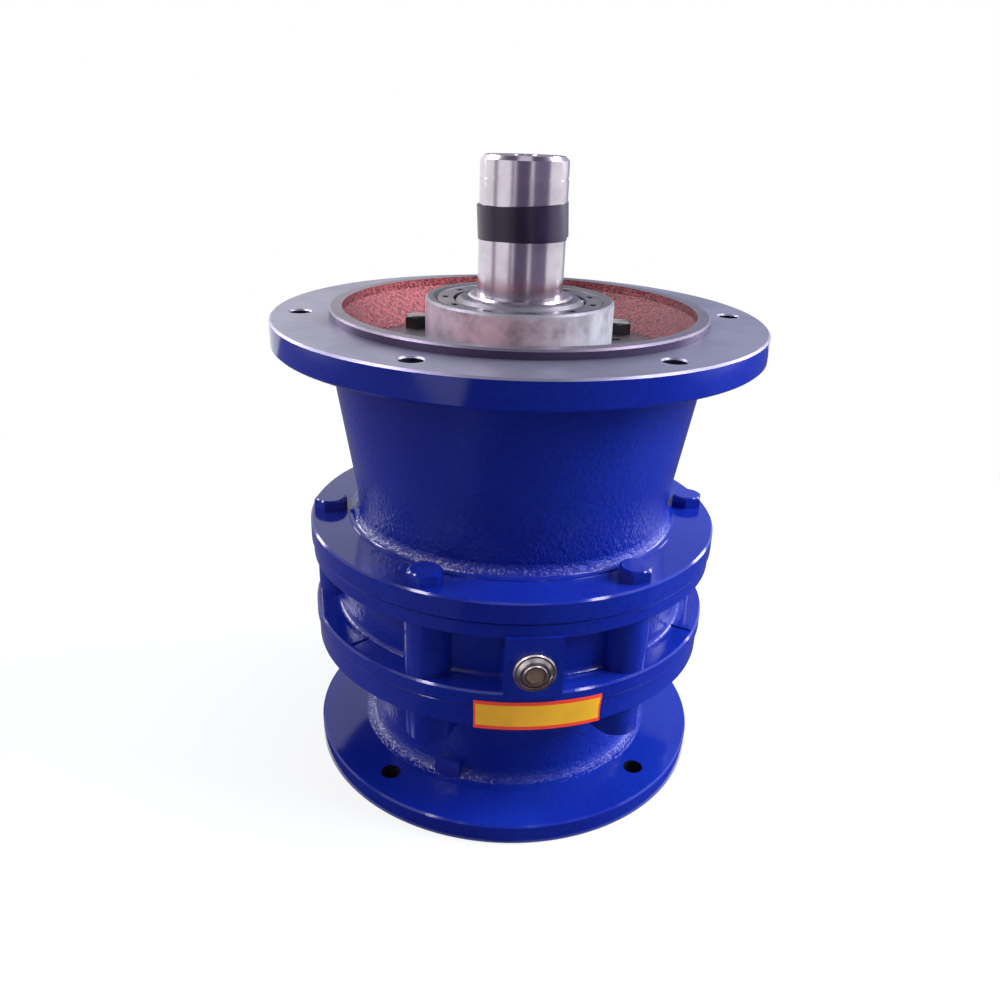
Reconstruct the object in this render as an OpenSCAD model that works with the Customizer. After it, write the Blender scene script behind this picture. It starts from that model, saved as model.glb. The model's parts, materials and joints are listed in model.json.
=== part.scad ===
// Single-stage cycloidal pin-wheel reducer for flange mounting, output shaft up.
// The axis of the reducer is Z. The motor face lies on z = 0. All sizes are in millimetres.

/* [Output flange] */
// Diameter of the output flange
output_flange_d = 260; // [250:1:290]
// Thickness of the output flange
output_flange_t = 14; // [11:0.5:18]
// Pitch circle of the output flange holes
output_bolt_circle_d = 230; // [222:1:238]
// Diameter of each output flange hole
output_hole_d = 11; // [9:0.5:13.5]
// Diameter of the raised centring ring on the output flange
spigot_d = 200; // [196:0.5:206]
// Height of the centring ring above the output flange
spigot_h = 4.5; // [3:0.5:6]
// Width of the centring ring between the spigot and the mouth of the bowl
spigot_rim_w = 6.7; // [5:0.1:9]
// Diameter of the bowl at its floor
bowl_floor_d = 164; // [160:1:172]
// Depth of the bowl floor below the flange face
bowl_depth = 22; // [19:0.5:25]

/* [Output housing] */
// Height of the output housing without the centring ring
output_housing_h = 123; // [118:1:132]
// Room between the heads of the housing bolts and the bell
head_to_bell = 7; // [5:0.5:9]
// How far the bell widens from its foot to the output flange
bell_flare = 11.8; // [8:0.2:14]
// Wall thickness of the bell
bell_wall = 9; // [7:0.5:11]
// How far the base flange stands out past the end rings
base_flange_lip = 1; // [0:0.5:3]
// Thickness of the base flange
base_flange_t = 11.5; // [9:0.5:14]
// Outer diameter of the bearing hub inside the bell
hub_d = 130; // [126:1:136]
// Thickness of the ribs between hub and bell
rib_t = 8; // [5:0.5:10]

/* [Pin gear housing] */
// Material between the housing bolts' circle and the edge of the two end rings
end_ring_margin = 10; // [9:0.5:14]
// Thickness of each end ring
end_ring_t = 8.5; // [6:0.5:9]
// Wall of the drum between the end rings
drum_wall = 8; // [7:0.5:10]
// Room between the sleeves and the drum
sleeve_room = 1; // [0.5:0.1:2]
// How far the end rings reach in past the circle of the ring pins
end_ring_cover = 3.5; // [3:0.1:3.8]
// Diameter of the columns around the housing bolts
column_d = 25; // [20:0.5:27]
// Width of the flat boss that carries the oil plug
plug_boss_w = 29; // [26:0.5:34]

/* [Input housing] */
// Height of the input housing
input_housing_h = 86.5; // [82:0.5:92]
// How far the rim stays back from the edge of the end rings
input_rim_inset = 1; // [0:0.5:3]
// Thickness of that rim
input_rim_t = 13.5; // [11:0.5:15]
// Outer diameter of the neck
neck_d = 159; // [154:1:166]
// Diameter of the motor flange
motor_flange_d = 229; // [224:1:240]
// Thickness of the motor flange
motor_flange_t = 12; // [10:0.5:15]
// Pitch circle of the motor flange holes
motor_bolt_circle_d = 196; // [192:0.5:202]
// Diameter of each motor flange hole
motor_hole_d = 11; // [9:0.5:12]
// Diameter of the recess that centres the motor
motor_pilot_d = 165; // [160:0.5:170]
// Depth of that recess
motor_pilot_depth = 5; // [4:0.5:6]
// Diameter of the room around the input shaft
shaft_room_d = 134; // [120:1:138]

/* [Housing bolts] */
// Distance of the housing bolts' circle from the drum
bolt_stand_off = 4; // [3:0.5:6]
// Diameter of the housing bolts
housing_bolt_d = 10; // [8:0.5:10]
// Depth of the thread in the input housing
housing_thread_depth = 22; // [18:0.5:26]

/* [Cycloid drive] */
// Eccentricity of the cycloid discs
eccentricity = 2.5; // [2.2:0.05:2.6]
// Pitch circle of the ring pins
ring_pin_circle_d = 168; // [167.6:0.1:168.6]
// Diameter of the ring pins
ring_pin_d = 10; // [8:0.2:10.4]
// Outer diameter of the sleeves on the ring pins
ring_sleeve_d = 14; // [13:0.1:14.4]
// Thickness of each cycloid disc
disc_t = 13; // [11.5:0.1:13.4]
// Gap between a disc and the end ring beside it
disc_end_gap = 1.25; // [1:0.05:1.6]
// Gap between the two discs
disc_gap = 2; // [1.8:0.1:2.6]
// Working clearance of the lobes and of the roller holes
drive_clearance = 0.15; // [0.1:0.01:0.25]
// Number of output pins
output_pin_count = 8; // [6:2:8]
// Pitch circle of the output pins
output_pin_circle_d = 104; // [103:0.5:105]
// Diameter of the output pins
output_pin_d = 14; // [12:0.5:15]
// Outer diameter of the rollers on the output pins
output_roller_d = 20; // [18.5:0.1:21]

/* [Eccentric] */
// Diameter of the two eccentric journals
eccentric_d = 48; // [47:0.5:49]
// Diameter of the rollers on the eccentric journals
eccentric_roller_d = 8; // [7.4:0.1:8.4]
// Number of rollers on each eccentric journal
eccentric_roller_count = 14; // [8:1:16]

/* [Input shaft] */
// Diameter of the hollow end that takes the motor shaft
hollow_end_d = 42; // [40:0.5:44]
// Bore for the motor shaft
motor_bore_d = 28; // [24:0.5:29]
// Height of the hollow end above the motor face
hollow_end_z = 14; // [10:0.5:20]
// Diameter of the shaft under the eccentric sleeve
sleeve_seat_d = 30; // [28:0.5:31]

/* [Output shaft] */
// Diameter of the shaft end
shaft_end_d = 45; // [40:0.5:48]
// Length of the shaft end above the outer bearing
shaft_end_l = 70; // [64:1:84]
// Diameter of the pin carrier at the foot of the output shaft
carrier_d = 136; // [132:1:142]
// Thickness of the pin carrier
carrier_t = 21.5; // [20:0.5:24]
// Width of the key on the shaft end
shaft_key_w = 14; // [10:0.5:14]
// Length of that key
shaft_key_l = 40; // [36:1:44]
// Width of the tape wound round the shaft end
tape_w = 16.6; // [12:0.2:20]
// Thickness of the wound tape
tape_t = 0.4; // [0.3:0.05:0.6]

/* [Bearings] */
// Bore of the outer bearing
outer_bearing_bore_d = 55; // [54:0.5:56]
// Outer diameter of the outer bearing
outer_bearing_d = 100; // [98:0.5:102]
// Width of the outer bearing
outer_bearing_w = 25; // [23:0.5:27]
// Bore of the inner output bearing
inner_bearing_bore_d = 60; // [59:0.5:62]
// Outer diameter of the inner output bearing
inner_bearing_d = 110; // [108:0.5:112]
// Width of the inner output bearing
inner_bearing_w = 22; // [20:0.5:24]
// Bore of the input bearing
input_bearing_bore_d = 35; // [34:0.5:36]
// Outer diameter of the input bearing
input_bearing_d = 72; // [70:0.5:74]
// Width of the input bearing
input_bearing_w = 17; // [15:0.5:18]
// Bore of the pilot bearing between the two shafts
pilot_bearing_bore_d = 25; // [24:0.5:26]
// Outer diameter of the pilot bearing
pilot_bearing_d = 52; // [50:0.5:54]
// Width of the pilot bearing
pilot_bearing_w = 15; // [13:0.5:16]
// Clearance of rolling parts in their tracks
track_clearance = 0.05; // [0.03:0.01:0.1]

/* [Small parts] */
// Thickness of each gasket
gasket_t = 0.5; // [0.3:0.1:1]
// Thickness of the retainer plate in the bowl
retainer_t = 6; // [4.5:0.5:7]
// Gap between the retainer plate and the wall of the bowl
retainer_gap = 3.5; // [3:0.5:7]
// Distance of the retainer bolts from the edge of the plate
retainer_bolt_inset = 12; // [10:0.5:13]
// Diameter of the retainer bolts
retainer_bolt_d = 8; // [6:0.5:8]
// Diameter of the oil plug's flange
plug_flange_d = 21; // [19:0.5:23]
// Diameter of the oil plug's thread
plug_thread_d = 12; // [10:0.5:14]

/* [Hidden] */
// Everything round is drawn with this many sides unless it is small
$fn = 96;
// Sliding fit between parts that slip together
fit = 0.05;
// Chamfer on machined edges
edge = 1;
// Angle of the first housing bolt and of the first output flange hole
bolt_turn = 6;
bolt_count = 6;
// The motor flange has its holes between the axes
motor_bolt_count = 4;
motor_bolt_turn = 49.5;
// Angle of the oil plug
plug_turn = -84;
// A cut reaches this far past the surface that it opens
over = 1;

// Diameters that follow the ring pins, from the chamber out
chamber_d = ring_pin_circle_d + ring_sleeve_d + 2 * sleeve_room;
end_ring_bore_d = ring_pin_circle_d - 2 * end_ring_cover;
drum_d = chamber_d + 2 * drum_wall;
housing_bolt_circle_d = drum_d + 2 * bolt_stand_off;
housing_head_w = 1.6 * housing_bolt_d;
pin_housing_d = housing_bolt_circle_d + 2 * end_ring_margin;
base_flange_d = pin_housing_d + 2 * base_flange_lip;
input_rim_d = pin_housing_d - 2 * input_rim_inset;
bell_low_d = housing_bolt_circle_d - housing_head_w - 2 * head_to_bell;
bell_top_d = bell_low_d + 2 * bell_flare;

// Diameters in the bowl
bowl_mouth_d = spigot_d - 2 * spigot_rim_w;
retainer_d = bowl_floor_d - 2 * retainer_gap;
retainer_bolt_circle_d = retainer_d - 2 * retainer_bolt_inset;

// Heights, from the motor face up
pin_housing_h = 2 * (end_ring_t + disc_end_gap + disc_t) + disc_gap;
pin_housing_z = input_housing_h + gasket_t;
base_z = pin_housing_z + pin_housing_h + gasket_t;
base_top_z = base_z + base_flange_t;
face_z = base_z + output_housing_h;
bowl_floor_z = face_z - bowl_depth;
retainer_top_z = bowl_floor_z + retainer_t;
outer_bearing_z = retainer_top_z;
outer_bearing_top_z = outer_bearing_z + outer_bearing_w;
shaft_top_z = outer_bearing_top_z + shaft_end_l;
bell_top_z = face_z - output_flange_t;

// The drive, measured from the middle of the pin gear housing
drive_z = pin_housing_z + pin_housing_h / 2;
disc_a_z = drive_z + disc_gap / 2;
disc_b_z = drive_z - disc_gap / 2 - disc_t;
carrier_gap = 2.75;
carrier_z = disc_a_z + disc_t + carrier_gap;
carrier_top_z = carrier_z + carrier_t;
ring_pin_count = 18;
lobe_count = ring_pin_count - 1;
points_per_lobe = 20;
lobe_crowding = 0.6;
ring_pin_r = ring_pin_circle_d / 2;
eccentric_track_r = eccentric_d / 2 + eccentric_roller_d + track_clearance;
eccentric_roller_r = (eccentric_d + eccentric_roller_d + track_clearance) / 2;
cage_inset = 0.8;
cage_rim = 1.4;

// Shoulders of the output shaft
shoulder_h = 5.5;
shoulder_d = inner_bearing_bore_d + 12;
inner_bearing_z = carrier_top_z + shoulder_h;
inner_bearing_top_z = inner_bearing_z + inner_bearing_w;
hub_shoulder = 6;
chamber_top_z = base_top_z + 5;
hub_foot_z = max(inner_bearing_z - 3, chamber_top_z);
floor_t = 14;
seal_w = 10;
seal_recess_d = inner_bearing_bore_d + 26;

// Rolling parts. The outer bearing has rollers and stands open in the bowl
input_ball_count = 9;
pilot_ball_count = 9;
inner_ball_count = 11;
outer_roller_count = 11;
outer_roller_turn = 16;
outer_roller_r = 5.5;
outer_pitch_r = (outer_bearing_bore_d + outer_bearing_d) / 4 + 0.75;
outer_inner_land = outer_pitch_r - outer_roller_r;
outer_outer_land = outer_pitch_r + outer_roller_r;
outer_lip = 2.5;
cage_step = 1.2;

// The input side
input_bearing_z = input_housing_h - 8 - input_bearing_w;
input_seal_w = 8;
input_seal_d = input_bearing_bore_d + 27;
partition_z = input_bearing_z - input_seal_w - 6;
input_dish_d = carrier_d;
input_dish_depth = 5;
neck_pad_turn = -112.5;
lug_h = 17;
lug_inset = 1.6;
lug_w = column_d - 1;
pilot_z = carrier_z + 1;
sleeve_z = input_bearing_z + input_bearing_w + 1;

// Bolts
housing_head_h = 0.65 * housing_bolt_d;
housing_head_turn = 12;
housing_bolt_hole_d = housing_bolt_d + 1;
housing_bolt_tip_z = input_housing_h - housing_thread_depth + 2;
retainer_head_w = 1.625 * retainer_bolt_d;
retainer_head_h = 0.875 * retainer_bolt_d;
retainer_bolt_reach = 9;
retainer_bolt_turn = 30;
pry_slot_turn = 17;

// Grooves and keys
ring_groove = 1.4;
groove_t = 2;
circlip_lip = 3.5;
circlip_mouth = 10;
shaft_key_h = 9;
shaft_key_depth = 5.5;
shaft_key_z = outer_bearing_top_z + 18;
shaft_step = 0.1;
shaft_relief_w = 1;
shaft_relief_depth = 0.5;
tape_z = outer_bearing_top_z + 30;
input_key_w = 8;
input_key_h = 7;
input_key_l = 24;
key_turn = 90;

// Columns and raised seams of the pin gear housing
column_inset = 1.3;
column_sink = 2;
mould_seam_turns = [-138, -26];

// Boss for the oil plug
plug_z = drive_z - 0.5;
plug_boss_face = pin_housing_d / 2 + 1.2;
plug_collar_d = plug_thread_d;
plug_thread_l = 12;
plug_washer_t = 1.5;
plug_flange_t = 2.2;

paint = [0.07, 0.13, 0.55];
steel = [0.76, 0.75, 0.76];
dark_steel = [0.45, 0.45, 0.47];
black_oxide = [0.13, 0.12, 0.13];
brass = [0.72, 0.56, 0.28];
rubber = [0.12, 0.12, 0.13];
paper = [0.45, 0.4, 0.3];

// ---------------------------------------------------------------- shared shapes

// Points of an arc, from angle a0 to angle a1
function arc(x, y, r, a0, a1, steps = 6) =
    [for (i = [0 : steps]) [x + r * cos(a0 + (a1 - a0) * i / steps),
                            y + r * sin(a0 + (a1 - a0) * i / steps)]];

// Copies placed on a circle, each turned with its place
module ring_of(count, radius, turn = 0) {
    for (i = [0 : count - 1])
        rotate(turn + i * 360 / count) translate([radius, 0, 0]) children();
}

// A cylinder whose two edges are chamfered
module chamfered(d, h, c = edge) {
    r = d / 2;
    rotate_extrude() polygon([[0, 0], [r - c, 0], [r, c], [r, h - c], [r - c, h], [0, h]]);
}

// A flat ring
module washer(outer_d, inner_d, h) {
    difference() {
        cylinder(d = outer_d, h = h);
        translate([0, 0, -over]) cylinder(d = inner_d, h = h + 2 * over);
    }
}

// A hexagon bolt that stands on z = 0 with its shank pointing down
module hex_bolt(shank_d, shank_l, head_w, head_h) {
    corner_d = head_w / cos(30);
    intersection() {
        cylinder(d = corner_d, h = head_h, $fn = 6);
        rotate_extrude() polygon([[0, 0], [corner_d / 2, 0], [corner_d / 2, head_h - 0.08 * head_w],
                                  [0.46 * head_w, head_h], [0, head_h]]);
    }
    translate([0, 0, -shank_l]) cylinder(d = shank_d, h = shank_l + 0.01);
}

// Ring of a ball or roller bearing, grooved or plain, with broken corners
module bearing_ring(r_in, r_out, w, groove_r = 0, groove_at = 0) {
    c = 0.8;
    difference() {
        rotate_extrude() polygon([[r_in, c], [r_in + c, 0], [r_out - c, 0], [r_out, c],
                                  [r_out, w - c], [r_out - c, w], [r_in + c, w], [r_in, w - c]]);
        if (groove_r > 0) translate([0, 0, w / 2])
            rotate_extrude() translate([groove_at, 0]) circle(r = groove_r, $fn = 32);
    }
}

// Sizes of a ball bearing: pitch radius, ball radius, shoulder radii of the two rings
function ball_pitch(bore, d) = (bore + d) / 4;
function ball_r(bore, d) = 0.155 * (d - bore);
function inner_land(bore, d) = ball_pitch(bore, d) - 0.55 * ball_r(bore, d);
function outer_land(bore, d) = ball_pitch(bore, d) + 0.55 * ball_r(bore, d);

module ball_outer_ring(bore, d, w) {
    color(steel) bearing_ring(outer_land(bore, d), d / 2, w,
        ball_r(bore, d) + track_clearance, ball_pitch(bore, d));
}

module ball_inner_ring(bore, d, w) {
    color(steel) bearing_ring(bore / 2, inner_land(bore, d), w,
        ball_r(bore, d) + track_clearance, ball_pitch(bore, d));
}

module ball_set(bore, d, w, count) {
    color(steel) translate([0, 0, w / 2])
        ring_of(count, ball_pitch(bore, d)) sphere(r = ball_r(bore, d), $fn = 32);
}

// The cage of a ball bearing is a crown: a band with a pocket round each ball, closed on top
module ball_cage(bore, d, w, count) {
    r = ball_pitch(bore, d);
    ball = ball_r(bore, d);
    color(brass) difference() {
        translate([0, 0, w / 2 - 0.45 * ball])
            washer(2 * r + 0.8 * ball, 2 * r - 0.8 * ball, 1.7 * ball);
        translate([0, 0, w / 2]) ring_of(count, r) sphere(r = ball + track_clearance, $fn = 32);
    }
}

// ---------------------------------------------------------------- input housing

// Outline of the cast body, half section from the axis outward
module input_body_section() {
    foot = 8;
    neck_r = neck_d / 2;
    rim_r = input_rim_d / 2;
    rim_z = input_housing_h - input_rim_t;
    polygon(concat(
        [[0, 0], [motor_flange_d / 2 - edge, 0], [motor_flange_d / 2, edge],
         [motor_flange_d / 2, motor_flange_t - edge], [motor_flange_d / 2 - edge, motor_flange_t]],
        arc(neck_r + foot, motor_flange_t + foot, foot, 270, 180),
        arc(neck_r + foot, rim_z - foot, foot, 180, 90),
        [[rim_r - edge, rim_z], [rim_r, rim_z + edge],
         [rim_r, input_housing_h - 0.5], [rim_r - 0.5, input_housing_h], [0, input_housing_h]]));
}

// Lug that gives a housing bolt its thread, hanging under the rim
module input_lug() {
    z = input_housing_h - input_rim_t - lug_h;
    centre = (input_rim_d - lug_w) / 2 - lug_inset;
    translate([0, 0, z]) {
        translate([centre, 0, 0]) cylinder(d = lug_w, h = lug_h + over);
        translate([neck_d / 2 - 6, -lug_w / 2, 0])
            cube([centre - neck_d / 2 + 6, lug_w, lug_h + over]);
    }
}

module input_housing() {
    seat_r = input_bearing_d / 2 + fit / 5;
    pad = [7, 15, 13];
    color(paint) difference() {
        union() {
            rotate_extrude() input_body_section();
            ring_of(bolt_count, 0, bolt_turn) input_lug();
            // Cast pad at the foot of the neck
            rotate(neck_pad_turn) translate([neck_d / 2 - 3, -pad[1] / 2, motor_flange_t - over])
                cube(pad);
        }
        // Recess that centres the motor, and the room behind it
        translate([0, 0, -over]) cylinder(d = motor_pilot_d, h = motor_pilot_depth + over);
        rotate_extrude() polygon([[0, 0], [shaft_room_d / 2, 0], [shaft_room_d / 2, partition_z - 12],
                                  [shaft_room_d / 2 - 12, partition_z], [0, partition_z]]);
        // Seats of the oil seal and of the bearing
        translate([0, 0, partition_z - over]) cylinder(d = input_seal_d - 8, h = 40);
        translate([0, 0, partition_z - over]) cylinder(d = input_seal_d, h = input_seal_w + over);
        translate([0, 0, input_bearing_z]) cylinder(r = seat_r, h = 40);
        translate([0, 0, input_bearing_z + input_bearing_w])
            cylinder(r = seat_r + ring_groove, h = groove_t);
        // Dish that clears the ends of the output pins
        translate([0, 0, input_housing_h - input_dish_depth])
            cylinder(d = input_dish_d, h = input_dish_depth + over);
        ring_of(motor_bolt_count, motor_bolt_circle_d / 2, motor_bolt_turn)
            translate([0, 0, -over]) cylinder(d = motor_hole_d, h = motor_flange_t + 2 * over);
        ring_of(bolt_count, housing_bolt_circle_d / 2, bolt_turn)
            translate([0, 0, input_housing_h - housing_thread_depth])
                cylinder(d = housing_bolt_d, h = housing_thread_depth + over);
    }
}

// Paper gasket on the joint face at height z, with a hole for each housing bolt
module gasket(z, outer_d, inner_d) {
    color(paper) translate([0, 0, z]) difference() {
        washer(outer_d, inner_d, gasket_t);
        ring_of(bolt_count, housing_bolt_circle_d / 2, bolt_turn)
            translate([0, 0, -over]) cylinder(d = housing_bolt_hole_d, h = gasket_t + 2 * over);
    }
}

module input_gasket() {
    gasket(input_housing_h, input_rim_d - 2, ring_pin_circle_d + ring_pin_d + 4);
}

module output_gasket() {
    gasket(pin_housing_z + pin_housing_h, pin_housing_d - 2, ring_pin_circle_d + ring_pin_d + 4);
}

// ---------------------------------------------------------------- pin gear housing

// Half section of the cast ring: two end rings joined by a drum
module pin_housing_section() {
    r = pin_housing_d / 2;
    drum_r = drum_d / 2;
    h = pin_housing_h;
    fillet = 3;
    polygon(concat(
        [[end_ring_bore_d / 2, 0], [r - 0.5, 0], [r, 0.5],
         [r, end_ring_t - edge], [r - edge, end_ring_t]],
        arc(drum_r + fillet, end_ring_t + fillet, fillet, 270, 180),
        arc(drum_r + fillet, h - end_ring_t - fillet, fillet, 180, 90),
        [[r - edge, h - end_ring_t], [r, h - end_ring_t + edge], [r, h - 0.5], [r - 0.5, h],
         [end_ring_bore_d / 2, h]]));
}

// Column that carries one housing bolt between the end rings
module bolt_column() {
    centre = (pin_housing_d - column_d) / 2 - column_inset;
    web = centre - drum_d / 2 + 4;
    translate([0, 0, end_ring_t - column_sink]) {
        height = pin_housing_h - 2 * end_ring_t + 2 * column_sink;
        translate([centre, 0, 0]) cylinder(d = column_d, h = height);
        translate([drum_d / 2 - 4, -column_d / 2, 0]) cube([web, column_d, height]);
    }
}

// Flat boss that carries the oil plug
module plug_boss() {
    depth = plug_boss_face - drum_d / 2 + 5;
    rotate(plug_turn) translate([drum_d / 2 - 5, -plug_boss_w / 2, end_ring_t - column_sink])
        cube([depth, plug_boss_w, pin_housing_h - 2 * end_ring_t + 2 * column_sink]);
}

module pin_gear_housing() {
    ridge_w = 1.4;
    ridge_h = 0.8;
    color(paint) translate([0, 0, pin_housing_z]) difference() {
        union() {
            rotate_extrude() pin_housing_section();
            ring_of(bolt_count, 0, bolt_turn) bolt_column();
            plug_boss();
            // Raised seams that the mould left on the lower end ring
            for (turn = mould_seam_turns) rotate(turn)
                translate([drum_d / 2 - 1, -ridge_w / 2, end_ring_t - over])
                    cube([(pin_housing_d - drum_d) / 2 - 0.5, ridge_w, ridge_h + over]);
        }
        translate([0, 0, end_ring_t])
            cylinder(d = chamber_d, h = pin_housing_h - 2 * end_ring_t);
        ring_of(ring_pin_count, ring_pin_r)
            translate([0, 0, -over]) cylinder(d = ring_pin_d + 2 * fit, h = pin_housing_h + 2 * over);
        ring_of(bolt_count, housing_bolt_circle_d / 2, bolt_turn)
            translate([0, 0, -over]) cylinder(d = housing_bolt_hole_d, h = pin_housing_h + 2 * over);
        // Drilled and tapped for the oil plug
        translate([0, 0, plug_z - pin_housing_z]) rotate(plug_turn) rotate([0, 90, 0])
            translate([0, 0, chamber_d / 2 - 5]) cylinder(d = plug_thread_d, h = 40);
    }
}

// ---------------------------------------------------------------- output housing

// Half section of the bell, solid inside
module bell_section() {
    low_r = bell_low_d / 2;
    top_r = bell_top_d / 2;
    flange_r = output_flange_d / 2;
    base_r = base_flange_d / 2;
    foot = 6;
    neck = 5;
    step = 0.8;
    polygon(concat(
        [[0, base_z], [base_r - 0.5, base_z], [base_r, base_z + 0.5], [base_r, base_top_z - edge],
         [base_r - edge, base_top_z], [low_r + foot - 1, base_top_z],
         [low_r + foot - 1.2, base_top_z + step]],
        arc(low_r + foot - 1, base_top_z + step + foot, foot, 262, 188),
        [[low_r, base_top_z + 3 * foot]],
        arc(top_r + neck, bell_top_z - neck, neck, 186, 95),
        [[flange_r - edge, bell_top_z], [flange_r, bell_top_z + edge], [flange_r, face_z - edge],
         [flange_r - edge, face_z], [spigot_d / 2, face_z], [spigot_d / 2, face_z + spigot_h - edge],
         [spigot_d / 2 - edge, face_z + spigot_h], [0, face_z + spigot_h]]));
}

// Half section of the open bowl in the output flange
module bowl_section() {
    mouth_r = bowl_mouth_d / 2;
    floor_r = bowl_floor_d / 2;
    round_r = 4;
    polygon(concat(
        [[0, bowl_floor_z]],
        arc(floor_r - round_r, bowl_floor_z + round_r, round_r, 270, 330),
        [[mouth_r, face_z], [mouth_r, face_z + spigot_h + over], [0, face_z + spigot_h + over]]));
}

// Half section of the oil room between hub and bell
module oil_room_section() {
    low_r = bell_low_d / 2 - bell_wall;
    top_z = bowl_floor_z - floor_t;
    slope = (bell_top_d - bell_low_d) / 2 / (bell_top_z - base_top_z);
    polygon([[hub_d / 2, hub_foot_z], [low_r, chamber_top_z],
             [low_r + slope * (top_z - 8 - chamber_top_z), top_z - 8],
             [low_r + slope * (top_z - 8 - chamber_top_z) - 8, top_z], [hub_d / 2 + 4, top_z],
             [hub_d / 2, top_z - 4]]);
}

module output_housing() {
    seat_r = inner_bearing_d / 2 + fit / 5;
    bore_d = inner_bearing_d - 2 * hub_shoulder;
    hole_h = output_flange_t + 2 * over;
    color(paint) difference() {
        rotate_extrude() bell_section();
        rotate_extrude() bowl_section();
        // Wide chamber over the pin carrier, then the oil room with its ribs
        translate([0, 0, base_z - over])
            cylinder(d = bell_low_d - 2 * bell_wall, h = chamber_top_z - base_z + over);
        difference() {
            rotate_extrude() oil_room_section();
            for (turn = [0 : 60 : 300]) rotate(turn + 30 + bolt_turn)
                translate([0, -rib_t / 2, chamber_top_z]) cube([output_flange_d, rib_t, 200]);
        }
        translate([0, 0, chamber_top_z - over])
            cylinder(d = hub_d, h = hub_foot_z - chamber_top_z + over);
        // Seats in the hub
        translate([0, 0, hub_foot_z - over])
            cylinder(r = seat_r, h = inner_bearing_top_z - hub_foot_z + over);
        translate([0, 0, inner_bearing_z - groove_t])
            cylinder(r = seat_r + ring_groove, h = groove_t);
        translate([0, 0, inner_bearing_z])
            cylinder(d = bore_d, h = bowl_floor_z - floor_t - inner_bearing_z);
        translate([0, 0, bowl_floor_z - 40]) cylinder(d = seal_recess_d - 8, h = 40 + over);
        translate([0, 0, bowl_floor_z - seal_w]) cylinder(d = seal_recess_d, h = seal_w + over);
        ring_of(bolt_count, output_bolt_circle_d / 2, bolt_turn) {
            translate([0, 0, bell_top_z - over]) cylinder(d = output_hole_d, h = hole_h);
            translate([0, 0, face_z - 0.8])
                cylinder(d1 = output_hole_d, d2 = output_hole_d + 3.6, h = 1.8, $fn = 48);
        }
        ring_of(bolt_count, housing_bolt_circle_d / 2, bolt_turn)
            translate([0, 0, base_z - over])
                cylinder(d = housing_bolt_hole_d, h = base_flange_t + 2 * over);
        ring_of(bolt_count, retainer_bolt_circle_d / 2, retainer_bolt_turn)
            translate([0, 0, bowl_floor_z - retainer_bolt_reach])
                cylinder(d = retainer_bolt_d, h = retainer_bolt_reach + over);
    }
}

module housing_bolts() {
    color(paint) ring_of(bolt_count, housing_bolt_circle_d / 2, bolt_turn)
        translate([0, 0, base_top_z]) rotate(housing_head_turn)
            hex_bolt(housing_bolt_d - 2 * fit, base_top_z - housing_bolt_tip_z,
                     housing_head_w, housing_head_h);
}

// ---------------------------------------------------------------- ring pins and plug

module ring_pins() {
    length = pin_housing_h + 2 * gasket_t - 0.4;
    color(steel) ring_of(ring_pin_count, ring_pin_r)
        translate([0, 0, input_housing_h + 0.2]) chamfered(ring_pin_d, length, 0.5);
}

module ring_pin_sleeves() {
    length = pin_housing_h - 2 * end_ring_t - 0.4;
    color(dark_steel) ring_of(ring_pin_count, ring_pin_r)
        translate([0, 0, drive_z - length / 2])
            washer(ring_sleeve_d, ring_pin_d + 2 * track_clearance, length);
}

// Places a child on the plug's axis with Z pointing out of the boss
module on_plug_boss() {
    translate([0, 0, plug_z]) rotate(plug_turn)
        translate([plug_boss_face, 0, 0]) rotate([0, 90, 0]) children();
}

module oil_plug_washer() {
    color(dark_steel) on_plug_boss() washer(plug_flange_d - 1, plug_thread_d + 0.6, plug_washer_t);
}

// Turned plug: flange, tapered shoulder, groove and a collar round the lens
module oil_plug() {
    flange_r = plug_flange_d / 2;
    collar_r = plug_collar_d / 2;
    z1 = plug_washer_t;
    z2 = z1 + plug_flange_t;
    color(steel) on_plug_boss() rotate_extrude() polygon([
        [0, -plug_thread_l], [plug_thread_d / 2 - fit, -plug_thread_l], [plug_thread_d / 2 - fit, z1],
        [flange_r - 0.4, z1], [flange_r, z1 + 0.4], [flange_r, z2 - 0.6], [flange_r - 0.6, z2],
        [flange_r - 1.6, z2], [collar_r + 1.4, z2 + 1.2], [collar_r + 1, z2 - 0.2],
        [collar_r, z2 - 0.2], [collar_r, z2 + 2], [collar_r - 0.4, z2 + 2.4],
        [collar_r - 1.1, z2 + 2.4], [collar_r - 1.4, z2 + 0.6], [0, z2 + 0.6]]);
}

module oil_plug_lens() {
    r = plug_collar_d / 2 - 1.5;
    z = plug_washer_t + plug_flange_t + 0.6;
    color([0.42, 0.3, 0.22]) on_plug_boss() translate([0, 0, z])
        rotate_extrude() polygon([[0, 0], [r, 0], [r, 0.5], [r - 0.6, 0.8], [0, 1]]);
}

// ---------------------------------------------------------------- bowl

module bearing_retainer_plate() {
    color(steel) translate([0, 0, bowl_floor_z]) difference() {
        chamfered(retainer_d, retainer_t);
        translate([0, 0, -over])
            cylinder(d = outer_bearing_d - 12, h = retainer_t + 2 * over);
        ring_of(bolt_count, retainer_bolt_circle_d / 2, retainer_bolt_turn)
            translate([0, 0, -over]) cylinder(d = retainer_bolt_d + 0.6, h = retainer_t + 2 * over);
        // Pry slots beside the bearing
        ring_of(bolt_count, outer_bearing_d / 2 + 5.5, pry_slot_turn)
            translate([-4, -2.2, retainer_t - 2.5]) cube([8, 4.4, 3]);
    }
}

module retainer_bolts() {
    color(black_oxide) ring_of(bolt_count, retainer_bolt_circle_d / 2, retainer_bolt_turn)
        translate([0, 0, retainer_top_z])
            hex_bolt(retainer_bolt_d - 2 * fit, retainer_t + retainer_bolt_reach - 1,
                     retainer_head_w, retainer_head_h);
}

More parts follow.
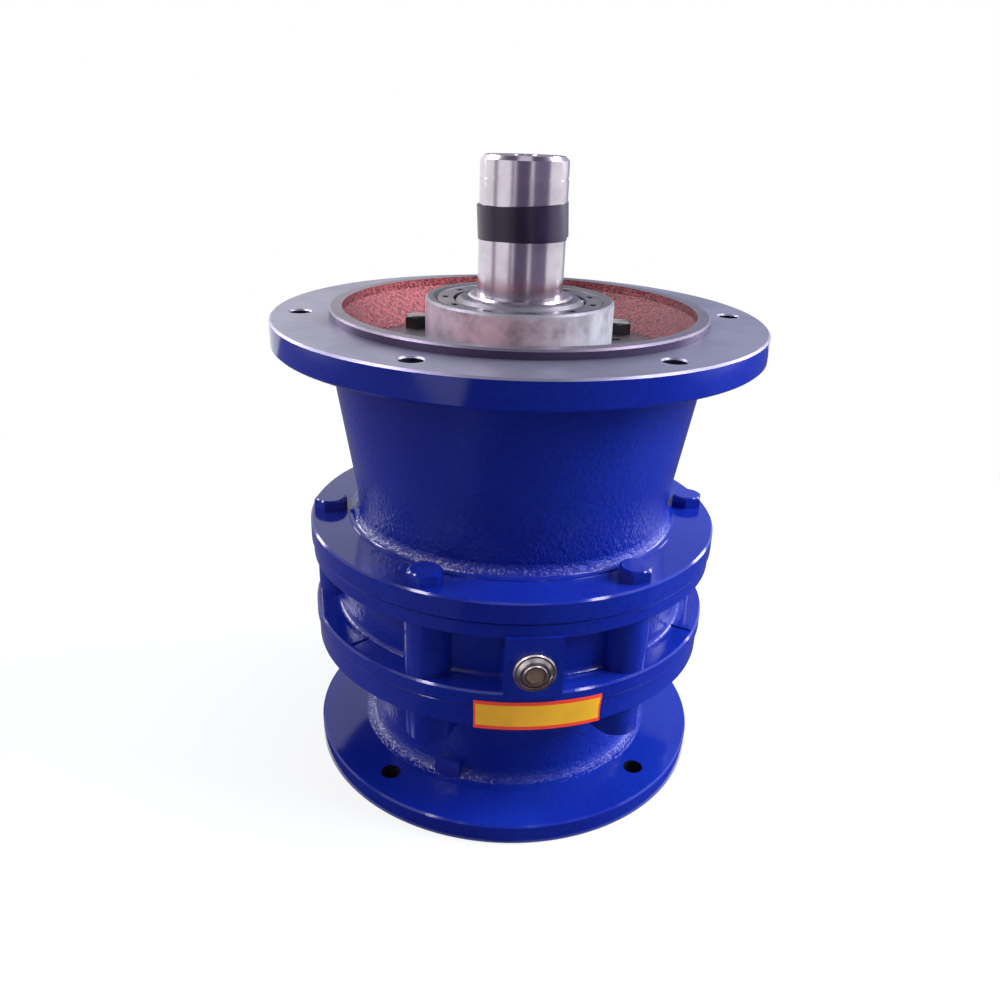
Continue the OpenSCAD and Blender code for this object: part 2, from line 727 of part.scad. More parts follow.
// Lip seal: an L section of rubber with a sealing lip
module lip_seal(z, shaft_d, outer_d, w) {
    r = shaft_d / 2;
    color(rubber) translate([0, 0, z]) rotate_extrude()
        polygon([[outer_d / 2, 0], [outer_d / 2, w], [r + 2, w], [r + 0.1, w - 2], [r + 0.1, w - 2.8],
                 [r + 3.5, w - 4], [r + 3.5, w - 2], [outer_d / 2 - 3, w - 2], [outer_d / 2 - 3, 0]]);
}

module output_oil_seal() {
    lip_seal(bowl_floor_z - seal_w, inner_bearing_bore_d, seal_recess_d, seal_w);
}

module input_oil_seal() {
    lip_seal(partition_z, input_bearing_bore_d, input_seal_d, input_seal_w);
}

// ---------------------------------------------------------------- input side

module input_bearing_outer_ring() {
    translate([0, 0, input_bearing_z])
        ball_outer_ring(input_bearing_bore_d, input_bearing_d, input_bearing_w);
}

module input_bearing_inner_ring() {
    translate([0, 0, input_bearing_z])
        ball_inner_ring(input_bearing_bore_d, input_bearing_d, input_bearing_w);
}

module input_bearing_balls() {
    translate([0, 0, input_bearing_z])
        ball_set(input_bearing_bore_d, input_bearing_d, input_bearing_w, input_ball_count);
}

module input_bearing_cage() {
    translate([0, 0, input_bearing_z])
        ball_cage(input_bearing_bore_d, input_bearing_d, input_bearing_w, input_ball_count);
}

// Split ring in a housing groove
module housing_circlip(z, seat_d, deep = ring_groove) {
    color(dark_steel) translate([0, 0, z + 0.1]) difference() {
        washer(seat_d + 2 * deep - 0.2, seat_d - 2 * circlip_lip, groove_t - 0.2);
        translate([0, -circlip_mouth / 2, -over]) cube([seat_d, circlip_mouth, groove_t + 2 * over]);
    }
}

module input_housing_circlip() {
    housing_circlip(input_bearing_z + input_bearing_w, input_bearing_d);
}

module input_shaft() {
    seat_r = input_bearing_bore_d / 2;
    top_z = pilot_z + pilot_bearing_w - 1;
    bottom = hollow_end_z;
    body_r = hollow_end_d / 2;
    bore_top_z = input_bearing_z - 4;
    keyway_top_z = partition_z - 4;
    color(steel) difference() {
        rotate_extrude() polygon([
            [0, bottom], [body_r - edge, bottom], [body_r, bottom + edge],
            [body_r, partition_z - 3], [seat_r, partition_z - 1],
            [seat_r, sleeve_z], [sleeve_seat_d / 2, sleeve_z],
            [sleeve_seat_d / 2, pilot_z], [pilot_bearing_bore_d / 2, pilot_z],
            [pilot_bearing_bore_d / 2, top_z - edge], [pilot_bearing_bore_d / 2 - edge, top_z],
            [0, top_z]]);
        // Bore and keyway for the motor shaft
        translate([0, 0, bottom - over]) cylinder(d = motor_bore_d, h = bore_top_z - bottom + over);
        translate([0, 0, bottom + 0.01]) rotate(180)
            translate([0, -input_key_w / 2, -over])
                cube([motor_bore_d / 2 + 3.3, input_key_w, keyway_top_z - bottom + over]);
        // Keyway under the eccentric sleeve
        rotate(key_turn) translate([sleeve_seat_d / 2 - input_key_h / 2 - 0.5, -input_key_w / 2,
                                    drive_z - input_key_l / 2])
            cube([input_key_h, input_key_w, input_key_l]);
    }
}

module input_shaft_key() {
    color(dark_steel) rotate(key_turn)
        translate([sleeve_seat_d / 2 - input_key_h / 2 - 0.5, -input_key_w / 2,
                   drive_z - input_key_l / 2])
            cube([input_key_h - 0.2, input_key_w, input_key_l]);
}

// Sleeve with two journals that are offset to opposite sides
module eccentric_sleeve() {
    bottom = sleeve_z + 0.2;
    top = pilot_z - 2.4;
    journal_top = disc_a_z + disc_t;
    hub_r = eccentric_d / 2 - eccentricity - 0.5;
    color(steel) difference() {
        union() {
            translate([0, 0, bottom]) cylinder(r = hub_r, h = top - bottom);
            translate([eccentricity, 0, disc_a_z - disc_gap / 2 + 0.01])
                cylinder(d = eccentric_d, h = journal_top - disc_a_z + disc_gap / 2);
            translate([-eccentricity, 0, disc_b_z])
                cylinder(d = eccentric_d, h = disc_t + disc_gap / 2);
        }
        translate([0, 0, bottom - over])
            cylinder(d = sleeve_seat_d + fit / 5, h = top - bottom + 2 * over);
        rotate(key_turn) translate([0, -input_key_w / 2, bottom - over])
            cube([sleeve_seat_d / 2 + input_key_h / 2 - 0.6, input_key_w, top - bottom + 2 * over]);
    }
}

module sleeve_circlip() {
    color(dark_steel) translate([0, 0, pilot_z - 2.2]) difference() {
        washer(sleeve_seat_d + 8, sleeve_seat_d + fit / 5, 2);
        rotate(180) translate([0, -4, -over]) cube([sleeve_seat_d, 8, 2 + 2 * over]);
    }
}

// Rollers on an eccentric journal, centred on the journal
module eccentric_rollers(side, z) {
    length = disc_t - 2 * (cage_inset + cage_rim) - 0.2;
    color(steel) translate([side * eccentricity, 0, z + (disc_t - length) / 2])
        ring_of(eccentric_roller_count, eccentric_roller_r)
            chamfered(eccentric_roller_d - track_clearance, length, 0.4);
}

// Cage: a band with a pocket round each roller and a rim at each end
module eccentric_cage(side, z) {
    height = disc_t - 2 * cage_inset;
    color(brass) translate([side * eccentricity, 0, z + cage_inset]) difference() {
        washer(2 * eccentric_roller_r + 3, 2 * eccentric_roller_r - 3, height);
        ring_of(eccentric_roller_count, eccentric_roller_r) translate([0, 0, cage_rim])
            cylinder(d = eccentric_roller_d + 0.1, h = height - 2 * cage_rim);
    }
}

module eccentric_rollers_a() { eccentric_rollers(1, disc_a_z); }
module eccentric_rollers_b() { eccentric_rollers(-1, disc_b_z); }
module eccentric_cage_a() { eccentric_cage(1, disc_a_z); }
module eccentric_cage_b() { eccentric_cage(-1, disc_b_z); }

// ---------------------------------------------------------------- cycloid discs

// Point of the disc's outline at parameter t, offset inward from the pin sleeve
function cycloid_point(t) =
    let(roller = ring_sleeve_d / 2 + drive_clearance,
        n = ring_pin_count,
        lean = atan2(sin((1 - n) * t), ring_pin_r / (eccentricity * n) - cos((1 - n) * t)))
    [ring_pin_r * cos(t) - roller * cos(t + lean) - eccentricity * cos(n * t),
     -ring_pin_r * sin(t) + roller * sin(t + lean) + eccentricity * sin(n * t)];

// Points stand closer together in the tight valleys between the lobes
function crowded(turn) = turn - lobe_crowding / lobe_count * 180 / PI * sin(lobe_count * turn);

module cycloid_outline() {
    steps = lobe_count * points_per_lobe;
    polygon([for (i = [0 : steps - 1]) cycloid_point(-crowded(360 * i / steps))]);
}

// Disc on its own centre, with a hole for each output pin roller
module cycloid_disc() {
    hole_r = output_roller_d / 2 + eccentricity + drive_clearance;
    difference() {
        linear_extrude(disc_t) cycloid_outline();
        translate([0, 0, -over]) cylinder(r = eccentric_track_r, h = disc_t + 2 * over);
        ring_of(output_pin_count, output_pin_circle_d / 2)
            translate([0, 0, -over]) cylinder(r = hole_r, h = disc_t + 2 * over);
    }
}

module cycloid_disc_a() {
    color(steel) translate([eccentricity, 0, disc_a_z]) cycloid_disc();
}

module cycloid_disc_b() {
    color(steel) rotate(180) translate([eccentricity, 0, disc_b_z]) cycloid_disc();
}

module disc_spacer_ring() {
    inner_d = output_pin_circle_d + output_roller_d + 0.4;
    color(dark_steel) translate([0, 0, drive_z - disc_gap / 2 + 0.2])
        washer(inner_d + 14, inner_d, disc_gap - 0.4);
}

// ---------------------------------------------------------------- output side

module output_shaft() {
    carrier_r = carrier_d / 2;
    inner_r = inner_bearing_bore_d / 2;
    outer_r = outer_bearing_bore_d / 2;
    end_r = shaft_end_d / 2;
    step_z = shaft_key_z + shaft_key_l + 1;
    color(steel) difference() {
        rotate_extrude() polygon([
            [0, carrier_z], [carrier_r - edge, carrier_z], [carrier_r, carrier_z + edge],
            [carrier_r, carrier_top_z - 4], [carrier_r - 4, carrier_top_z],
            [shoulder_d / 2, carrier_top_z], [shoulder_d / 2, inner_bearing_z],
            [inner_r, inner_bearing_z], [inner_r, outer_bearing_z],
            [outer_r, outer_bearing_z], [outer_r, outer_bearing_top_z + 0.6],
            [outer_r - edge, outer_bearing_top_z + 1.6],
            [end_r + shaft_step, outer_bearing_top_z + 1.6],
            [end_r + shaft_step, step_z], [end_r - shaft_relief_depth, step_z],
            [end_r - shaft_relief_depth, step_z + shaft_relief_w], [end_r, step_z + shaft_relief_w],
            [end_r, shaft_top_z - 2], [end_r - 2, shaft_top_z], [0, shaft_top_z]]);
        // Seat of the pilot bearing
        translate([0, 0, carrier_z - over])
            cylinder(d = pilot_bearing_d + 2 * fit / 5, h = pilot_z + pilot_bearing_w - carrier_z + over);
        translate([0, 0, carrier_z])
            cylinder(d = pilot_bearing_bore_d + 8, h = pilot_z + pilot_bearing_w + 3 - carrier_z);
        ring_of(output_pin_count, output_pin_circle_d / 2)
            translate([0, 0, carrier_z - over]) cylinder(d = output_pin_d, h = carrier_t + 2 * over);
        // Centre hole in the shaft end
        translate([0, 0, shaft_top_z - 12]) cylinder(d = 6, h = 12 + over, $fn = 32);
        translate([0, 0, shaft_top_z - 3.5]) cylinder(d1 = 6, d2 = 13, h = 3.6, $fn = 48);
        // Keyway
        rotate(key_turn) translate([end_r - shaft_key_depth, -shaft_key_w / 2, shaft_key_z])
            cube([shaft_key_h, shaft_key_w, shaft_key_l]);
    }
}

module output_pins() {
    bottom = disc_b_z - 2;
    color(steel) ring_of(output_pin_count, output_pin_circle_d / 2)
        translate([0, 0, bottom]) chamfered(output_pin_d, carrier_top_z - bottom, 0.8);
}

module output_pin_rollers() {
    bottom = disc_b_z - 0.5;
    color(dark_steel) ring_of(output_pin_count, output_pin_circle_d / 2)
        translate([0, 0, bottom])
            washer(output_roller_d, output_pin_d + 2 * track_clearance, carrier_z - 0.3 - bottom);
}

module pilot_bearing_outer_ring() {
    translate([0, 0, pilot_z])
        ball_outer_ring(pilot_bearing_bore_d, pilot_bearing_d, pilot_bearing_w);
}

module pilot_bearing_inner_ring() {
    translate([0, 0, pilot_z])
        ball_inner_ring(pilot_bearing_bore_d, pilot_bearing_d, pilot_bearing_w);
}

module pilot_bearing_balls() {
    translate([0, 0, pilot_z])
        ball_set(pilot_bearing_bore_d, pilot_bearing_d, pilot_bearing_w, pilot_ball_count);
}

module pilot_bearing_cage() {
    translate([0, 0, pilot_z])
        ball_cage(pilot_bearing_bore_d, pilot_bearing_d, pilot_bearing_w, pilot_ball_count);
}

module inner_bearing_outer_ring() {
    translate([0, 0, inner_bearing_z])
        ball_outer_ring(inner_bearing_bore_d, inner_bearing_d, inner_bearing_w);
}

module inner_bearing_inner_ring() {
    translate([0, 0, inner_bearing_z])
        ball_inner_ring(inner_bearing_bore_d, inner_bearing_d, inner_bearing_w);
}

module inner_bearing_balls() {
    translate([0, 0, inner_bearing_z])
        ball_set(inner_bearing_bore_d, inner_bearing_d, inner_bearing_w, inner_ball_count);
}

module inner_bearing_cage() {
    translate([0, 0, inner_bearing_z])
        ball_cage(inner_bearing_bore_d, inner_bearing_d, inner_bearing_w, inner_ball_count);
}

module hub_circlip() {
    housing_circlip(inner_bearing_z - groove_t, inner_bearing_d);
}

module outer_bearing_outer_ring() {
    r = outer_bearing_d / 2;
    w = outer_bearing_w;
    c = 1.2;
    groove = outer_outer_land + track_clearance;
    color(steel) translate([0, 0, outer_bearing_z]) rotate_extrude() polygon([
        [groove - 0.8, 0], [r - c, 0], [r, c], [r, w - c], [r - c, w], [groove + 0.9, w],
        [groove - 0.8, w - 0.9], [groove - 0.8, w - outer_lip], [groove, w - outer_lip],
        [groove, outer_lip], [groove - 0.8, outer_lip]]);
}

module outer_bearing_inner_ring() {
    r = outer_inner_land - track_clearance;
    w = outer_bearing_w;
    bore_r = outer_bearing_bore_d / 2;
    color(steel) translate([0, 0, outer_bearing_z]) rotate_extrude() polygon([
        [bore_r, 1], [bore_r + 1, 0], [r - 1.2, 0], [r, 1.2], [r, w - 2.2], [r - 2.6, w],
        [bore_r + 1, w], [bore_r, w - 1]]);
}

module outer_bearing_rollers() {
    length = outer_bearing_w - 2 * outer_lip - 0.4;
    color(steel) translate([0, 0, outer_bearing_z + outer_lip + 0.2])
        ring_of(outer_roller_count, outer_pitch_r, outer_roller_turn)
            chamfered(2 * outer_roller_r, length, 0.5);
}

module outer_bearing_cage() {
    width = outer_bearing_w - 2 * cage_step;
    pocket = outer_bearing_w - 2 * outer_lip;
    color(dark_steel) translate([0, 0, outer_bearing_z + cage_step]) difference() {
        washer(2 * outer_outer_land - 2.6, 2 * outer_inner_land + 2.6, width);
        ring_of(outer_roller_count, outer_pitch_r, outer_roller_turn) {
            translate([0, 0, outer_lip - cage_step]) cylinder(r = outer_roller_r + 0.15, h = pocket);
            // Window through the cage rim beside each roller
            translate([-1.5, -2.4, pocket - over]) cube([3, 4.8, 6]);
        }
    }
}

module output_shaft_key() {
    end_r = shaft_end_d / 2;
    color(dark_steel) rotate(key_turn)
        translate([end_r - shaft_key_depth, -shaft_key_w / 2, shaft_key_z])
            cube([shaft_key_h, shaft_key_w, shaft_key_l]);
}

// Tape that holds the key in its way, wound round the shaft and over the key
module shaft_tape() {
    r = shaft_end_d / 2 + shaft_step + fit;
    key_out = shaft_end_d / 2 - shaft_key_depth + shaft_key_h;
    color(black_oxide) translate([0, 0, tape_z]) linear_extrude(tape_w) difference() {
        union() {
            circle(r = r + tape_t);
            rotate(key_turn) translate([0, -shaft_key_w / 2 - tape_t])
                square([key_out + tape_t, shaft_key_w + 2 * tape_t]);
        }
        circle(r = r);
        rotate(key_turn) translate([0, -shaft_key_w / 2]) square([key_out, shaft_key_w]);
    }
}

// ---------------------------------------------------------------- nodes

input_housing();
input_gasket();
pin_gear_housing();
output_gasket();
output_housing();
housing_bolts();
ring_pins();
ring_pin_sleeves();
oil_plug_washer();
oil_plug();
oil_plug_lens();
bearing_retainer_plate();
retainer_bolts();
output_oil_seal();
input_oil_seal();
input_bearing_outer_ring();
input_bearing_inner_ring();
input_bearing_balls();
input_bearing_cage();
input_housing_circlip();
input_shaft();
input_shaft_key();
eccentric_sleeve();
sleeve_circlip();
eccentric_rollers_a();
eccentric_cage_a();
eccentric_rollers_b();
eccentric_cage_b();
cycloid_disc_a();
cycloid_disc_b();
disc_spacer_ring();
output_shaft();
output_pins();
output_pin_rollers();
pilot_bearing_outer_ring();
pilot_bearing_inner_ring();
pilot_bearing_balls();
pilot_bearing_cage();
inner_bearing_outer_ring();
inner_bearing_inner_ring();
inner_bearing_balls();
inner_bearing_cage();
hub_circlip();
outer_bearing_outer_ring();
outer_bearing_inner_ring();
outer_bearing_rollers();
outer_bearing_cage();
output_shaft_key();
shaft_tape();
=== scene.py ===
"""Looks of a flange-mounted cycloidal reducer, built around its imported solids."""

import json
import logging
import math
from dataclasses import dataclass, field
from enum import Enum
from typing import Any

import bpy
from mathutils import Matrix, Vector


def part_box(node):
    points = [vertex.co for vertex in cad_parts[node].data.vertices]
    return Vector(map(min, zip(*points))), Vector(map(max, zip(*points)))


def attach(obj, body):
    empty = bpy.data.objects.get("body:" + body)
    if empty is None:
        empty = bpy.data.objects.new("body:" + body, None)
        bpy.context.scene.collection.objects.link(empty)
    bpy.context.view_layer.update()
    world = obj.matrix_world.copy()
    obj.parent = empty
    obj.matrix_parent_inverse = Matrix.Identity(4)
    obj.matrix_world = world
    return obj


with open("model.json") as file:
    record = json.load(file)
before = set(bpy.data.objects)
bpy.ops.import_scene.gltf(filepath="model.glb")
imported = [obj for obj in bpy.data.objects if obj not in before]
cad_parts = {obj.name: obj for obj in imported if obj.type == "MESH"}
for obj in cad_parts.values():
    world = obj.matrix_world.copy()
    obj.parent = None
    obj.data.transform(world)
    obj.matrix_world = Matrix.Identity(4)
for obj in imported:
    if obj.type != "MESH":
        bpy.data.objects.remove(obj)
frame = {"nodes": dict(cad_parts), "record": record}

logging.basicConfig(level=logging.INFO, format="%(message)s")
log = logging.getLogger("reducer")

MM = 0.001
Colour = tuple[float, float, float]
Fade = tuple[float, float]  # Where a mask is 0 and where it is 1
WHITE: Colour = (1.0, 1.0, 1.0)
SMOOTH_DEG = 35.0  # Faces that meet at less than this are shaded as one


def shade_of(colour: Colour, share: float) -> Colour:
    """A colour at a share of its brightness."""
    return tuple(share * part for part in colour)


# ---------------------------------------------------------------- shader maths


class Value:
    """A shader socket that Python's operators work on."""

    def __init__(self, graph: "Graph", socket: bpy.types.NodeSocket) -> None:
        """Wraps a socket of a graph.

        Args:
            graph: The graph that new nodes go into.
            socket: The output socket.
        """
        self.graph = graph
        self.socket = socket

    def __add__(self, other: "Value | float") -> "Value":
        """Sum."""
        return self.graph.math("ADD", self, other)

    def __radd__(self, other: float) -> "Value":
        """Sum with a number on the left."""
        return self.graph.math("ADD", other, self)

    def __sub__(self, other: "Value | float") -> "Value":
        """Difference."""
        return self.graph.math("SUBTRACT", self, other)

    def __rsub__(self, other: float) -> "Value":
        """Difference with a number on the left."""
        return self.graph.math("SUBTRACT", other, self)

    def __mul__(self, other: "Value | float") -> "Value":
        """Product."""
        return self.graph.math("MULTIPLY", self, other)

    def __rmul__(self, other: float) -> "Value":
        """Product with a number on the left."""
        return self.graph.math("MULTIPLY", other, self)

    def __abs__(self) -> "Value":
        """Absolute value."""
        return self.graph.math("ABSOLUTE", self)


@dataclass(frozen=True)
class Spot:
    """The shaded point: its place, its radius and height about the axis, and how it faces."""

    place: Value
    radius: Value
    height: Value
    up: Value


class Graph:
    """A node tree with the shader at its end."""

    def __init__(self, tree: bpy.types.NodeTree, shader: str) -> None:
        """Wraps a tree that Blender has just made.

        Args:
            tree: The tree.
            shader: The name of the shader node in it.
        """
        self.tree = tree
        self.shader = tree.nodes[shader]

    def node(self, kind: str, settings: dict[str, Any] | None = None,
             inputs: dict[str | int, Any] | None = None) -> bpy.types.Node:
        """Adds a node.

        Args:
            kind: The node's type, without the leading ShaderNode.
            settings: Its settings, set before its sockets.
            inputs: Values or links of its input sockets, by name or index.

        Returns:
            The node.
        """
        made = self.tree.nodes.new("ShaderNode" + kind)
        for name, value in (settings or {}).items():
            setattr(made, name, value)
        for name, value in (inputs or {}).items():
            self.feed(made.inputs[name], value)
        return made

    def feed(self, socket: bpy.types.NodeSocket, value: Any) -> None:
        """Links a socket, or sets its value.

        Args:
            socket: The input socket.
            value: A Value to link, or a number or colour to set.
        """
        if isinstance(value, Value):
            self.tree.links.new(value.socket, socket)
        elif isinstance(value, tuple) and len(value) == 3:
            socket.default_value = (*value, 1.0)
        else:
            socket.default_value = value

    def set(self, **values: Any) -> None:
        """Sets or links sockets of the shader; an underscore stands for a space."""
        for name, value in values.items():
            self.feed(self.shader.inputs[name.replace("_", " ")], value)

    def out(self, made: bpy.types.Node, name: str | int = 0) -> Value:
        """One output of a node, as a value."""
        return Value(self, made.outputs[name])

    def math(self, operation: str, *values: Value | float) -> Value:
        """The result of a Math node on one to three operands."""
        return self.out(self.node("Math", {"operation": operation}, dict(enumerate(values))))

    def largest(self, first: Value, *others: Value) -> Value:
        """The largest of several values."""
        for other in others:
            first = self.math("MAXIMUM", first, other)
        return first

    def between(self, value: Value, low: float, high: float) -> Value:
        """A smooth step.

        Args:
            value: What it depends on.
            low: Where the step is 0.
            high: Where it is 1, which may be the smaller of the two.

        Returns:
            The step.
        """
        made = self.node("MapRange", {"interpolation_type": "SMOOTHSTEP"},
                         {"Value": value, "From Min": low, "From Max": high})
        return self.out(made, "Result")

    def fade(self, value: Value, origin: float, ends: Fade) -> Value:
        """A smooth step whose ends are distances from an origin."""
        return self.between(value, origin + ends[0], origin + ends[1])

    def blend(self, mask: Value | float, first: Value | Colour,
              second: Value | Colour) -> Value:
        """Colour between two others.

        Args:
            mask: The share of the second colour.
            first: The colour where the mask is 0.
            second: The colour where it is 1.

        Returns:
            The mixed colour.
        """
        made = self.node("Mix", {"data_type": "RGBA"}, {0: mask, 6: first, 7: second})
        return self.out(made, 2)

    def spot(self) -> Spot:
        """The shaded point, in object coordinates."""
        coordinates = self.node("TexCoord")
        place = self.out(coordinates, "Object")
        split = self.node("SeparateXYZ", None, {0: place})
        x, y, height = (self.out(split, axis) for axis in "XYZ")
        normal = self.node("SeparateXYZ", None, {0: self.out(coordinates, "Normal")})
        return Spot(place, self.math("SQRT", x * x + y * y), height, self.out(normal, "Z"))

    def turn(self, place: Value) -> Value:
        """The angle of a place about the reducer's axis, in radians."""
        split = self.node("SeparateXYZ", None, {0: place})
        return self.math("ARCTAN2", self.out(split, "Y"), self.out(split, "X"))

    def noise(self, place: Value, cells: float, detail: float = 2.0,
              roughness: float = 0.5) -> Value:
        """Noise from 0 to 1.

        Args:
            place: Where it is read.
            cells: Its cells in a metre.
            detail: How many finer layers it has.
            roughness: How strong the finer layers are.

        Returns:
            The noise.
        """
        made = self.node("TexNoise", {"normalize": True}, {
            "Vector": place, "Scale": cells, "Detail": detail, "Roughness": roughness})
        return self.out(made, "Fac")

    def bump(self, height: Value, depth: float, below: Value | None = None) -> Value:
        """A normal that is bent by a height map.

        Args:
            height: Heights from 0 to 1.
            depth: The height of 1, in metres.
            below: A normal that is bent already.

        Returns:
            The new normal.
        """
        inputs: dict[str | int, Any] = {"Height": height, "Distance": depth, "Strength": 1.0}
        if below is not None:
            inputs["Normal"] = below
        return self.out(self.node("Bump", None, inputs), "Normal")

    def shown(self) -> Value:
        """1 for what the camera sees, straight, mirrored or through glass."""
        rays = self.node("LightPath")
        return self.largest(self.out(rays, "Is Camera Ray"), self.out(rays, "Is Glossy Ray"),
                            self.out(rays, "Is Transmission Ray"))

    def glow(self, colour: Colour) -> Value:
        """A shader that glows evenly, where white is 1."""
        return self.out(self.node("Emission", None, {"Color": colour, "Strength": 1.0}))


class MaterialGraph(Graph):
    """The node tree of a new material, with its Principled shader."""

    def __init__(self, name: str) -> None:
        """Starts an empty material of that name."""
        self.material = bpy.data.materials.new(name)
        self.material.use_nodes = True
        super().__init__(self.material.node_tree, "Principled BSDF")

    def end_with(self, shader: Value) -> None:
        """Makes another shader the one that is rendered."""
        self.feed(self.tree.nodes["Material Output"].inputs["Surface"], shader)


class WorldGraph(Graph):
    """The node tree of a new world, with its background."""

    def __init__(self, name: str) -> None:
        """Starts a world of that name and gives it to the scene."""
        world = bpy.data.worlds.new(name)
        world.use_nodes = True
        bpy.context.scene.world = world
        super().__init__(world.node_tree, "Background")


# ---------------------------------------------------------------- sizes


@dataclass
class Layout:
    """Heights and radii that the finishes follow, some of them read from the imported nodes."""

    flange_thickness: float = 14.0 * MM
    spigot_height: float = 4.5 * MM
    spigot_radius: float = 100.0 * MM
    mouth_radius: float = 93.3 * MM
    base_thickness: float = 11.5 * MM
    drum_radius: float = 100.0 * MM
    neck_foot: float = 12.0 * MM
    neck_radius: float = 79.5 * MM
    flange_holes: tuple[float, float] = (108.0 * MM, 122.0 * MM)
    foot_holes: tuple[float, float] = (92.3 * MM, 104.0 * MM)
    base_top: float = field(init=False)
    bell_top: float = field(init=False)
    face: float = field(init=False)
    ring_radius: float = field(init=False)
    ring_bottom: float = field(init=False)

    def __post_init__(self) -> None:
        """Reads heights and the ring's radius from the castings' boxes."""
        low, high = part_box("output_housing")
        self.face = high[2] - self.spigot_height
        self.bell_top = self.face - self.flange_thickness
        self.base_top = low[2] + self.base_thickness
        low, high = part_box("pin_gear_housing")
        self.ring_radius = high[0]
        self.ring_bottom = low[2]


# ---------------------------------------------------------------- finishes


class Skin(Enum):
    """Which painted casting a coat of enamel is for."""

    OUTPUT = "output housing"
    RING = "pin gear housing"
    INPUT = "input housing"
    BOLT = "painted bolts"


